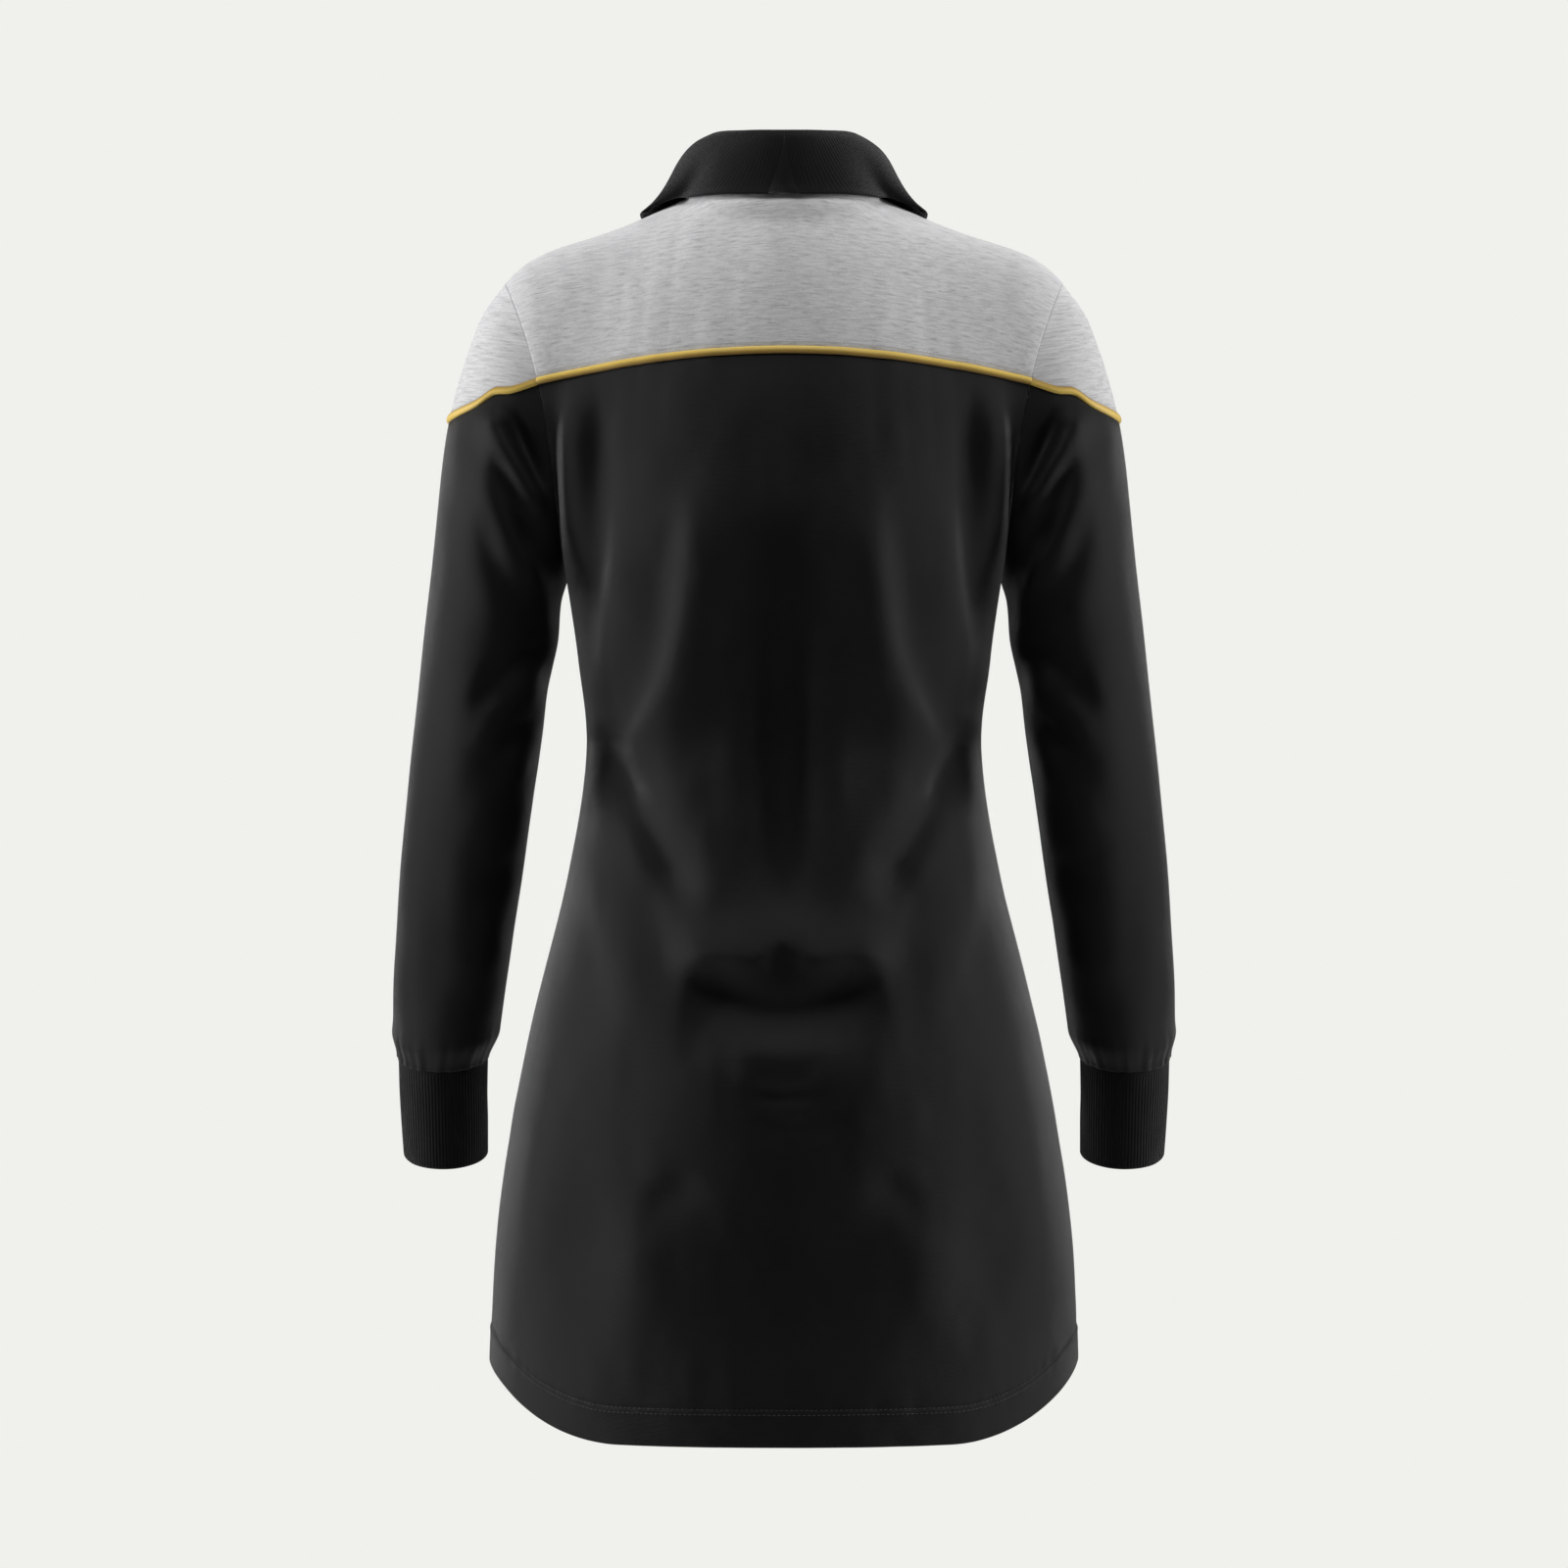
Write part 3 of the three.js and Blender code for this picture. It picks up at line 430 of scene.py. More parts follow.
def back_folds(x, z):
    """Hollow of the spine, the lines that run to the waist, and the shelf above the seat."""
    h = fold(x, z, [(0, 660), (1, 570), (0, 470), (0, 390), (0, 322)], -10, 20, 20, 0.4)
    h += mirrored(x, z, [(61, 680), (63, 612), (71, 548), (90, 500), (112, 474)], 9.5, 12, 26, 0.35)
    h += mirrored(x, z, [(112, 670), (116, 605), (122, 550), (124, 500)], 4, 12, 20, 0.4)
    h += mirrored(x, z, [(146, 745), (149, 695), (147, 640), (143, 585)], 7.5, 9, 17, 0.35)
    h += mirrored(x, z, [(128, 745), (131, 685), (129, 620), (124, 550)], -4.5, 9, 11, 0.4)
    h += mirrored(x, z, [(124, 482), (105, 440), (84, 402), (64, 364)], -8, 10, 22, 0.3)
    h += mirrored(x, z, [(114, 500), (88, 452), (60, 402), (42, 356)], 4.5, 16, 20, 0.4)
    h += mirrored(x, z, [(134, 500), (122, 468), (118, 425)], -6, 13, 15, 0.4)
    h += mirrored(x, z, [(134, 436), (125, 380), (113, 320), (104, 265)], 5, 15, 22, 0.45)
    shelf = [(-84, 326), (-52, 333), (-20, 331), (0, 344), (20, 331), (52, 333), (84, 326)]
    h += fold(x, z, shelf, 9, 30, 9, 0.16)
    h += fold(x, z, [(-72, 314), (-42, 308), (0, 298), (42, 308), (72, 314)], -9, 13, 24, 0.25)
    h += fold(x, z, [(-64, 272), (0, 266), (64, 272)], 4, 17, 15, 0.4)
    h += fold(x, z, [(-36, 246), (0, 241), (36, 245)], -3, 5, 8, 0.4)
    h += fold(x, z, [(-50, 226), (-8, 219), (30, 223)], -1.8, 6, 9, 0.4)
    h += mirrored(x, z, [(60, 190), (80, 172), (104, 172)], -2.2, 9, 18, 0.4)
    h += mirrored(x, z, [(150, 310), (166, 225), (176, 140), (180, 60)], 4.5, 18, 26, 0.4)
    h += mirrored(x, z, [(126, 270), (138, 185), (143, 105), (146, 40)], -2.6, 20, 26, 0.45)
    h += mirrored(x, z, [(94, 180), (100, 115), (102, 50)], 3, 20, 24, 0.45)
    h += fold(x, z, [(-2, 190), (2, 115), (0, 40)], -3.5, 42, 42, 0.4)
    h += noise(x / 34, z / 60, 3) * smoothstep(z, 20, 120)
    h += 0.4 * noise(x / 13, z / 25, 5)
    return h


def front_folds(x, z):
    """Drape from the bust to the waist, the closed waist, and the hang of the skirt."""
    h = mirrored(x, z, [(112, 650), (104, 600), (84, 540), (70, 490), (62, 440)], 3.6, 16, 22, 0.4)
    h += mirrored(x, z, [(138, 620), (130, 560), (120, 510)], -3.6, 12, 14, 0.4)
    h += mirrored(x, z, [(40, 590), (34, 530), (30, 470)], -2.6, 18, 18, 0.45)
    h += mirrored(x, z, [(130, 500), (100, 470), (66, 440), (40, 425)], -3, 9, 14, 0.35)
    h += mirrored(x, z, [(132, 468), (100, 432), (70, 400)], 2.6, 10, 14, 0.4)
    h += fold(x, z, [(-60, 462), (-20, 452), (20, 455), (66, 466)], -2, 7, 12, 0.4)
    h += mirrored(x, z, [(150, 330), (164, 240), (174, 150), (180, 70)], 4.5, 17, 24, 0.4)
    h += mirrored(x, z, [(110, 300), (118, 210), (122, 120), (124, 40)], -3, 20, 24, 0.45)
    h += mirrored(x, z, [(66, 260), (70, 160), (72, 50)], 2.6, 22, 26, 0.45)
    h += fold(x, z, [(0, 260), (2, 150), (0, 40)], -2.4, 34, 34, 0.4)
    h += 0.8 * noise(x / 36, z / 55, 11) * smoothstep(z, 20, 120)
    h += 0.35 * noise(x / 13, z / 24, 13)
    return h


def body_folds(face, p, u):
    """Height of the folds at points of the body; none at the side seam and the armhole."""
    x, z = p[..., 0], p[..., 2]
    h = back_folds(x, z) if face == BACK else front_folds(x, z)
    return h * smoothstep(1 - np.abs(u), 0, 0.1)


def arm_back_folds(x, z):
    """Drag lines from the outer shoulder to the underarm, and the creases inside the elbow."""
    h = fold(x, z, [(207, 728), (200, 704), (188, 682), (176, 662), (168, 640)], 8.5, 15, 6.5, 0.25)
    h += fold(x, z, [(194, 722), (184, 694), (174, 672), (166, 652)], -7, 9, 9, 0.3)
    h += fold(x, z, [(214, 700), (205, 668), (193, 636), (180, 604), (170, 580)], 6, 19, 8, 0.3)
    h += fold(x, z, [(206, 692), (195, 660), (183, 632), (172, 606)], -5, 8, 9, 0.35)
    h += fold(x, z, [(226, 668), (218, 624), (204, 584), (188, 552)], 3.4, 20, 11, 0.4)
    h += fold(x, z, [(214, 650), (206, 612), (192, 578)], -2.6, 10, 10, 0.4)
    h += fold(x, z, [(160, 556), (180, 546), (204, 528), (222, 500)], -3.2, 8, 9, 0.3)
    h += fold(x, z, [(164, 530), (184, 518), (206, 496), (220, 470)], 3, 10, 10, 0.35)
    h += fold(x, z, [(164, 500), (186, 492), (208, 470)], -2.6, 8, 8, 0.35)
    h += fold(x, z, [(168, 470), (190, 462), (212, 436), (226, 404)], 2.4, 11, 11, 0.35)
    h += fold(x, z, [(178, 402), (200, 392), (222, 366)], -2.2, 10, 10, 0.4)
    h += fold(x, z, [(190, 340), (214, 328), (238, 300)], 1.8, 12, 12, 0.4)
    h += fold(x, z, [(252, 600), (262, 510), (272, 420), (280, 330), (282, 280)], 2.4, 12, 20, 0.4)
    h += fold(x, z, [(232, 460), (244, 390), (250, 320), (252, 275)], -2, 15, 17, 0.4)
    return h


def arm_front_folds(x, z):
    """Softer lines at the front of the shoulder and in the bend of the elbow."""
    h = fold(x, z, [(206, 730), (198, 700), (184, 668), (172, 640)], 5, 14, 9, 0.35)
    h += fold(x, z, [(192, 716), (182, 686), (172, 660)], -4, 9, 9, 0.4)
    h += fold(x, z, [(178, 520), (200, 510), (226, 500), (250, 496)], -3.6, 8, 11, 0.3)
    h += fold(x, z, [(182, 488), (206, 478), (232, 470), (256, 472)], 3.6, 10, 12, 0.3)
    h += fold(x, z, [(184, 456), (208, 448), (236, 436)], -3.2, 8, 10, 0.35)
    h += fold(x, z, [(190, 420), (214, 404), (242, 384)], 2.4, 11, 14, 0.4)
    h += fold(x, z, [(206, 360), (226, 330), (244, 296)], -1.8, 12, 14, 0.4)
    return h


ROUND_ARM = 48  # millimetres of cloth in one radian round the sleeve


def arm_folds(base, angle, s):
    """Folds of a sleeve. The angle is 0 at its outer line, 90 degrees behind and 180 on the inside."""
    x, z = base[..., 0], base[..., 2]
    behind = np.sin(angle)
    h = arm_back_folds(x, z) * smoothstep(behind, -0.1, 0.45)
    h += arm_front_folds(x, z) * smoothstep(-behind, -0.1, 0.45)
    round_it = np.abs(np.angle(np.exp(1j * angle))) * ROUND_ARM
    gather = 1 + np.sin(angle * 17 + 1.3) * 0.6 + np.sin(angle * 29 + 0.4) * 0.45
    h += 0.6 * gather * smoothstep(s, 0.93, 0.985)
    h += 0.6 * noise(round_it / 22 + 40, s * 12.5, 21) * smoothstep(s, 0.1, 0.25)
    return h * smoothstep(s, 0, 0.09)


# ------------------------------------------------------------------ materials


class Graph:
    """Nodes of one material."""

    def __init__(self, name):
        self.material = bpy.data.materials.new(name)
        self.material.use_nodes = True
        self.tree = self.material.node_tree
        self.shader = self.tree.nodes["Principled BSDF"]

    def node(self, kind, **settings):
        made = self.tree.nodes.new(kind)
        for key, value in settings.items():
            setattr(made, key, value)
        return made

    def link(self, source, target):
        self.tree.links.new(source, target)

    def fill(self, socket, value):
        if isinstance(value, bpy.types.NodeSocket):
            self.link(value, socket)
        else:
            socket.default_value = value

    def math(self, operation, a, b=0.0):
        made = self.node("ShaderNodeMath", operation=operation)
        self.fill(made.inputs[0], a)
        self.fill(made.inputs[1], b)
        return made.outputs[0]

    def times(self, a, b):
        return self.math("MULTIPLY", a, b)

    def plus(self, a, b):
        return self.math("ADD", a, b)

    def place(self, name):
        """The two coordinates of the cloth, in millimetres across and along."""
        made = self.node("ShaderNodeAttribute", attribute_name=name)
        split = self.node("ShaderNodeSeparateXYZ")
        self.link(made.outputs["Vector"], split.inputs[0])
        return split.outputs[0], split.outputs[1]

    def at(self, x, y, z=0.0):
        made = self.node("ShaderNodeCombineXYZ")
        self.fill(made.inputs[0], x)
        self.fill(made.inputs[1], y)
        self.fill(made.inputs[2], z)
        return made.outputs[0]

    def spread(self, across, up, by_across, by_up, z=0.0):
        """The cloth's coordinates, stretched or squeezed each by its own number."""
        return self.at(self.times(across, by_across), self.times(up, by_up), z)

    def speckle(self, vector, scale, detail=2.0, rough=0.5):
        made = self.node("ShaderNodeTexNoise")
        self.link(vector, made.inputs["Vector"])
        made.inputs["Scale"].default_value = scale
        made.inputs["Detail"].default_value = detail
        made.inputs["Roughness"].default_value = rough
        return made.outputs["Fac"]

    def ramp(self, value, stops):
        made = self.node("ShaderNodeValToRGB")
        self.link(value, made.inputs["Fac"])
        points = made.color_ramp.elements
        points[0].position, points[0].color = stops[0][0], (*stops[0][1], 1)
        points[1].position, points[1].color = stops[-1][0], (*stops[-1][1], 1)
        for position, colour in stops[1:-1]:
            extra = points.new(position)
            extra.color = (*colour, 1)
        return made.outputs["Color"]

    def blend(self, factor, a, b, mode="MIX"):
        made = self.node("ShaderNodeMix", data_type="RGBA", blend_type=mode)
        self.fill(made.inputs["Factor"], factor)
        self.fill(made.inputs["A"], a)
        self.fill(made.inputs["B"], b)
        return made.outputs["Result"]

    def bump(self, height, distance, strength):
        made = self.node("ShaderNodeBump")
        made.inputs["Distance"].default_value = distance
        made.inputs["Strength"].default_value = strength
        self.link(height, made.inputs["Height"])
        self.link(made.outputs[0], self.shader.inputs["Normal"])

    def finish(self, **values):
        for key, value in values.items():
            self.fill(self.shader.inputs[key.replace("_", " ")], value)
        return self.material


def knit(graph, across, along_it, wale=1.1, course=0.85):
    """Height of plain knitting: columns of V-shaped stitches."""
    column = graph.math("FRACT", graph.math("DIVIDE", across, wale))
    off = graph.math("ABSOLUTE", graph.math("SUBTRACT", column, 0.5))
    leg = graph.math("SINE", graph.times(off, 2 * PI))
    slant = graph.plus(graph.math("DIVIDE", along_it, course), graph.times(off, 1.3))
    wave = graph.math("SINE", graph.times(slant, 2 * PI))
    loop = graph.plus(graph.times(wave, 0.35), 0.65)
    return graph.times(leg, loop)


def jersey():
    graph = Graph("black_jersey_knit")
    across, up = graph.place("cloth")
    height = knit(graph, across, up)
    broad = graph.speckle(graph.spread(across, up, 0.02, 0.012), 1.0, 3.0)
    fibre = graph.speckle(graph.spread(across, up, 0.9, 1.7), 1.0, 3.0, 0.7)
    mixed = graph.plus(graph.times(broad, 0.5), graph.times(fibre, 0.5))
    colour = graph.ramp(mixed, [(0.3, (0.0003, 0.0003, 0.0004)), (0.72, (0.0042, 0.0042, 0.0045))])
    # painted shade: the low places of the knit are darkened, multiplied into the colour below
    shade = graph.ramp(height, [(0.0, (0.78, 0.78, 0.78)), (0.9, (1.0, 1.0, 1.0))])
    roughness = graph.plus(graph.times(fibre, 0.14), 0.49)
    graph.bump(graph.plus(height, graph.times(fibre, 0.6)), 0.00022, 0.6)
    colour = graph.blend(1.0, colour, shade, "MULTIPLY")
    return graph.finish(
        Base_Color=colour,
        Roughness=roughness,
        Sheen_Weight=0.58,
        Sheen_Roughness=0.17,
        Specular_IOR_Level=0.17,
    )


def heather():
    graph = Graph("heather_grey_jersey")
    across, up = graph.place("cloth")
    height = knit(graph, across, up)
    flat = graph.spread(across, up, 0.11, 0.95)
    streak = graph.speckle(flat, 1.0, 4.0, 0.62)
    other = graph.spread(across, up, 0.07, 0.42, 7.0)
    longer = graph.speckle(other, 1.0, 3.0, 0.55)
    fleck = graph.spread(across, up, 0.5, 2.2, 3.0)
    fibre = graph.speckle(fleck, 1.0, 2.0, 0.6)
    broad = graph.speckle(graph.spread(across, up, 0.012, 0.012), 1.0, 2.0)
    dark = (0.27, 0.27, 0.28)
    middle = (0.55, 0.55, 0.56)
    light = (0.66, 0.66, 0.667)
    colour = graph.ramp(streak, [(0.33, dark), (0.45, middle), (0.56, light)])
    colour = graph.blend(0.35, colour, graph.ramp(longer, [(0.36, dark), (0.56, light)]))
    colour = graph.blend(0.25, colour, graph.ramp(fibre, [(0.34, (0.3, 0.3, 0.31)), (0.5, light)]))
    # painted shade: the low places of the knit are darkened, multiplied into the colour below
    shade = graph.ramp(height, [(0.0, (0.9, 0.9, 0.9)), (0.9, (1.0, 1.0, 1.0))])
    colour = graph.blend(1.0, colour, shade, "MULTIPLY")
    tone = graph.ramp(broad, [(0.3, (0.96, 0.96, 0.96)), (0.7, (1.0, 1.0, 1.0))])
    colour = graph.blend(1.0, colour, tone, "MULTIPLY")
    roughness = graph.plus(graph.times(fibre, 0.12), 0.8)
    graph.bump(graph.plus(height, graph.times(fibre, 0.7)), 0.00022, 0.55)
    return graph.finish(
        Base_Color=colour,
        Roughness=roughness,
        Sheen_Weight=0.18,
        Sheen_Roughness=0.5,
        Specular_IOR_Level=0.3,
    )


GOLD_WIDTH = 9.5  # from edge to edge over the round face
# Painted shade across the tape: the colour darkens towards both edges of the round face, most at the edge
# where the cloth coordinate starts
GOLD_PAINTED_EDGE_SHADE = [
    (0.0, (0.3, 0.24, 0.16)),
    (0.2, (0.62, 0.56, 0.48)),
    (0.36, (1.0, 1.0, 1.0)),
    (0.66, (1.0, 1.0, 1.0)),
    (0.84, (0.8, 0.75, 0.66)),
    (1.0, (0.4, 0.34, 0.26)),
]


def gold():
    """Satin-faced tape, woven with a fine slanting rib, its colour darkened towards both edges by painted
    shade over the round face.
    """
    graph = Graph("gold_satin_tape")
    across, up = graph.place("cloth")
    slant = graph.plus(graph.times(across, 1.5), graph.times(up, 2.6))
    rib = graph.math("SINE", graph.times(slant, 2.2))
    grain = graph.spread(across, up, 0.4, 2.4)
    thread = graph.speckle(grain, 1.0, 3.0, 0.6)
    colour = graph.ramp(thread, [(0.25, (0.62, 0.415, 0.07)), (0.7, (0.76, 0.54, 0.115))])
    # painted shade multiplied into the tape's colour towards its edges
    painted_edge_shade = graph.ramp(graph.math("DIVIDE", up, GOLD_WIDTH), GOLD_PAINTED_EDGE_SHADE)
    colour = graph.blend(1.0, colour, painted_edge_shade, "MULTIPLY")
    roughness = graph.plus(graph.times(thread, 0.2), 0.4)
    graph.bump(graph.plus(rib, thread), 0.00012, 0.5)
    return graph.finish(
        Base_Color=colour,
        Roughness=roughness,
        Sheen_Weight=0.25,
        Sheen_Roughness=0.35,
        Specular_IOR_Level=0.45,
    )


def rib_knit():
    graph = Graph("black_rib_knit")
    across, up = graph.place("cloth")
    height = knit(graph, across, up, 0.95, 0.8)
    fibre = graph.speckle(graph.spread(across, up, 1.1, 1.3), 1.0, 3.0, 0.7)
    colour = graph.ramp(fibre, [(0.3, (0.0065, 0.0065, 0.0068)), (0.72, (0.012, 0.012, 0.0125))])
    # painted shade: the low places of the rib are darkened, multiplied into the colour
    shade = graph.ramp(height, [(0.0, (0.72, 0.72, 0.72)), (0.9, (1.0, 1.0, 1.0))])
    roughness = graph.plus(graph.times(fibre, 0.12), 0.84)
    graph.bump(graph.plus(height, graph.times(fibre, 0.6)), 0.0003, 0.7)
    return graph.finish(
        Base_Color=graph.blend(1.0, colour, shade, "MULTIPLY"),
        Roughness=roughness,
        Sheen_Weight=0.3,
        Sheen_Roughness=0.3,
        Specular_IOR_Level=0.1,
    )


def thread(name, dark, light):
    graph = Graph(name)
    where = graph.node("ShaderNodeTexCoord").outputs["Object"]
    fuzz = graph.speckle(where, 2600.0, 2.0, 0.6)
    graph.bump(fuzz, 0.0001, 0.5)
    return graph.finish(
        Base_Color=graph.ramp(fuzz, [(0.3, dark), (0.7, light)]),
        Roughness=graph.plus(graph.times(fuzz, 0.2), 0.5),
        Sheen_Weight=0.2,
        Specular_IOR_Level=0.4,
    )


WEAVE_PITCH = 0.55


def woven_label():
    """Plain-woven white tape."""
    graph = Graph("white_woven_tape")
    across, up = graph.place("cloth")
    warp = graph.math("SINE", graph.times(across, 2 * PI / WEAVE_PITCH))
    weft = graph.math("SINE", graph.times(up, 2 * PI / WEAVE_PITCH))
    weave = graph.times(warp, weft)
    fibre = graph.speckle(graph.at(across, up), 0.9, 3.0, 0.6)
    graph.bump(graph.plus(weave, fibre), 0.00012, 0.6)
    return graph.finish(
        Base_Color=graph.ramp(fibre, [(0.3, (0.66, 0.65, 0.61)), (0.7, (0.82, 0.81, 0.78))]),
        Roughness=graph.plus(graph.times(fibre, 0.2), 0.6),
        Sheen_Weight=0.15,
        Specular_IOR_Level=0.4,
    )


def moulded_button():
    graph = Graph("button_plastic")
    where = graph.node("ShaderNodeTexCoord").outputs["Object"]
    cloud = graph.speckle(where, 160.0, 4.0, 0.6)
    fine = graph.speckle(where, 1500.0, 2.0, 0.5)
    graph.bump(fine, 0.00003, 0.3)
    return graph.finish(
        Base_Color=graph.ramp(cloud, [(0.35, (0.009, 0.009, 0.01)), (0.7, (0.022, 0.022, 0.024))]),
        Roughness=graph.plus(graph.times(cloud, 0.2), 0.2),
        Specular_IOR_Level=0.5,
        Coat_Weight=0.2,
    )


BLACK = jersey()
GREY = heather()
GOLD = gold()
RIB = rib_knit()
BLACK_THREAD = thread("black_thread", (0.008, 0.008, 0.009), (0.024, 0.024, 0.026))
GREY_THREAD = thread("grey_thread", (0.3, 0.3, 0.31), (0.52, 0.52, 0.53))
WHITE_TAPE = woven_label()
WHITE_THREAD = thread("white_thread", (0.6, 0.6, 0.58), (0.82, 0.82, 0.8))
BUTTON = moulded_button()

# ------------------------------------------------------------------ cloth as meshes


def in_metres(points):
    """Points in metres, where the CAD has them."""
    return (points - np.array([0, 0, NECK_HEIGHT])) / 1000


def grid_normals(grid, closed=False):
    """Directions out of a grid of points whose rows x columns point outwards."""
    if closed:
        sideways = np.roll(grid, -1, 1) - np.roll(grid, 1, 1)
    else:
        sideways = np.gradient(grid, axis=1)
    upwards = np.gradient(grid, axis=0)
    normals = np.cross(upwards, sideways)
    size = np.linalg.norm(normals, axis=-1)
    weak = size < 1e-6
    if weak.any():  # a pointed end takes the direction of the points beside it
        columns = grid.shape[1]
        for c in np.unique(np.nonzero(weak)[1]):
            near = min(max(c, 2), columns - 3)
            normals[weak[:, c], c] = unit(normals[:, near].mean(axis=0))
    return unit(normals)


def cloth_places(grid, closed=False):
    """Distances across and along the cloth in millimetres, for the knit."""
    sideways = np.linalg.norm(np.diff(grid, axis=1), axis=-1)
    upwards = np.linalg.norm(np.diff(grid, axis=0), axis=-1)
    widest = sideways.mean(axis=0)
    across = np.concatenate([[0], np.cumsum(widest)])
    across = np.broadcast_to(across, grid.shape[:2])
    up = np.vstack([np.zeros(grid.shape[1]), np.cumsum(upwards, axis=0)])
    if closed:
        up = np.broadcast_to(up.mean(axis=1)[:, None], up.shape)
    return across, up


def lay_cloth(mesh, places):
    """Writes the cloth's own coordinates at the corners of the faces. Where a ring closes, its last
    faces carry on past the end instead of running back to the start."""
    numbers = np.empty(len(mesh.loops), np.int32)
    mesh.loops.foreach_get("vertex_index", numbers)
    corners = places[numbers].reshape(-1, 4, 3)
    across = corners[..., 0]
    whole = np.ptp(places[:, 0])
    wrapped = np.ptp(across, axis=1) > whole / 2
    step = whole * (1 + 1 / 200)  # about one column past the end
    ring = across[wrapped]
    across[wrapped] += np.where(ring < ring.max(axis=1, keepdims=True) - whole / 2, step, 0)
    layer = mesh.attributes.new("cloth", "FLOAT_VECTOR", "CORNER")
    layer.data.foreach_set("vector", corners.astype(np.float32).ravel())


def make_object(name, points, faces, material, places=None, metres=False):
    mesh = bpy.data.meshes.new(name)
    where = points if metres else in_metres(np.asarray(points))
    mesh.from_pydata(where.tolist(), [], faces)
    mesh.materials.append(material)
    if places is not None:
        lay_cloth(mesh, np.asarray(places))
    mesh.polygons.foreach_set("use_smooth", [True] * len(mesh.polygons))
    made = bpy.data.objects.new(name, mesh)
    bpy.context.scene.collection.objects.link(made)
    return made


def strip_faces(first, second, closed=False):
    """Quads between two rows of point numbers."""
    around = len(first)
    count = around if closed else around - 1
    return [(first[i], second[i], second[(i + 1) % around], first[(i + 1) % around]) for i in range(count)]


class Sheet:
    """A sheet of cloth: a grid of points on its outer face, the thickness behind it and rounded
    edges. An edge of a closed ring that is listed in plain is cut straight, and takes its shading
    from the ring that goes on beyond it."""

    def __init__(
        self,
        name,
        grid,
        material,
        thick=JERSEY,
        closed=False,
        plain=(),
        normals=None,
        flat_grid=None,
        ribbed=False,
        weave=None,
    ):
        rows, columns = grid.shape[:2]
        flat_grid = grid if flat_grid is None else flat_grid
        self.grid = grid
        self.normals = grid_normals(flat_grid if ribbed else grid, closed) if normals is None else normals
        self.thick = np.broadcast_to(np.asarray(thick, float), (rows, columns))[..., None]
        outer, ways = self.drawn_in(closed, plain)
        inner = (flat_grid + outer - grid if ribbed else outer) - self.normals * self.thick
        numbers = np.arange(rows * columns).reshape(rows, columns)
        under = numbers + rows * columns
        self.faces = []
        for r in range(rows - 1):
            self.faces += strip_faces(numbers[r], numbers[r + 1], closed)
            self.faces += [tuple(reversed(quad)) for quad in strip_faces(under[r], under[r + 1], closed)]
        across, up = cloth_places(flat_grid, closed) if weave is None else weave
        flat = np.stack([across, up, np.zeros_like(up)], -1).reshape(-1, 3)
        self.points = [outer.reshape(-1, 3), inner.reshape(-1, 3)]
        self.places = [flat, flat]
        self.count = 2 * rows * columns
        if closed:
            self.rim(numbers[0][::-1], ways["start"][::-1], "start" not in plain)
            self.rim(numbers[-1], ways["end"], "end" not in plain)
        else:
            self.rim(*self.border(numbers, ways), True)
        places = np.concatenate(self.places)
        self.object = make_object(name, np.concatenate(self.points), self.faces, material, places)
        self.shade_cut_edges(plain)
        self.measure(flat_grid, closed)

    def drawn_in(self, closed, plain):
        """The outer points with their edges drawn in to make room for the rounding, and the ways
        out of the sheet at each edge."""
        grid, thick = self.grid, self.thick
        outer = grid.copy()
        ways = {}
        for edge, row, beyond in (("start", 0, 1), ("end", -1, -2)):
            ways[edge] = unit(grid[row] - grid[beyond])
            if edge not in plain:
                outer[row] = outer[row] - ways[edge] * self.inset(grid[row], grid[beyond], thick[row])
        if closed:
            return outer, ways
        for edge, column, beyond in (("low", 0, 1), ("high", -1, -2)):
            ways[edge] = unit(grid[:, column] - grid[:, beyond])
            step = self.inset(grid[:, column], grid[:, beyond], thick[:, column])
            outer[:, column] = outer[:, column] - ways[edge] * step
        return outer, ways

    @staticmethod
    def border(numbers, ways):
        """Point numbers all the way round a sheet with four edges, and the way out at each."""
        rows, columns = numbers.shape
        edges = [numbers[0][::-1], numbers[:, 0], numbers[-1], numbers[:, -1][::-1]]
        outwards = [ways["start"][::-1], ways["low"], ways["end"], ways["high"][::-1]]
        top = np.concatenate([edge[:-1] for edge in edges])
        out = np.concatenate([way[:-1] for way in outwards])
        corners = [0, columns - 1, columns + rows - 2, 2 * columns + rows - 3]
        mates = [ways["high"][0], ways["start"][0], ways["low"][-1], ways["end"][-1]]
        for corner, mate in zip(corners, mates):
            out[corner] = unit(out[corner] + mate)
        return top, out

    def rim(self, top, out, rounded):
        """Closes the edge between the outer points with these numbers and the inner ones."""
        half = self.thick.reshape(-1, 1)[top] / 2
        normals = self.normals.reshape(-1, 3)[top]
        last = top
        for turn in (PI / 4, PI / 2, 3 * PI / 4) if rounded else ():
            away = out * half * math.sin(turn)
            down = normals * half * (1 - math.cos(turn))
            self.points.append(self.points[0][top] + away - down)
            self.places.append(self.places[0][top])
            row = np.arange(self.count, self.count + len(top))
            self.count += len(top)
            self.faces += strip_faces(last, row, True)
            last = row
        self.faces += strip_faces(last, top + self.points[0].shape[0], True)

    @staticmethod
    def inset(edge, beyond, thick):
        step = np.linalg.norm(edge - beyond, axis=-1, keepdims=True)
        return np.minimum(thick / 2, 0.45 * step)

    def shade_cut_edges(self, plain):
        if not plain:
            return
        rows, columns = self.grid.shape[:2]
        wanted = np.zeros((self.count, 3))
        for edge in plain:
            row = 0 if edge == "start" else rows - 1
            wanted[row * columns : (row + 1) * columns] = self.normals[row]
        self.object.data.normals_split_custom_set_from_vertices(wanted.tolist())

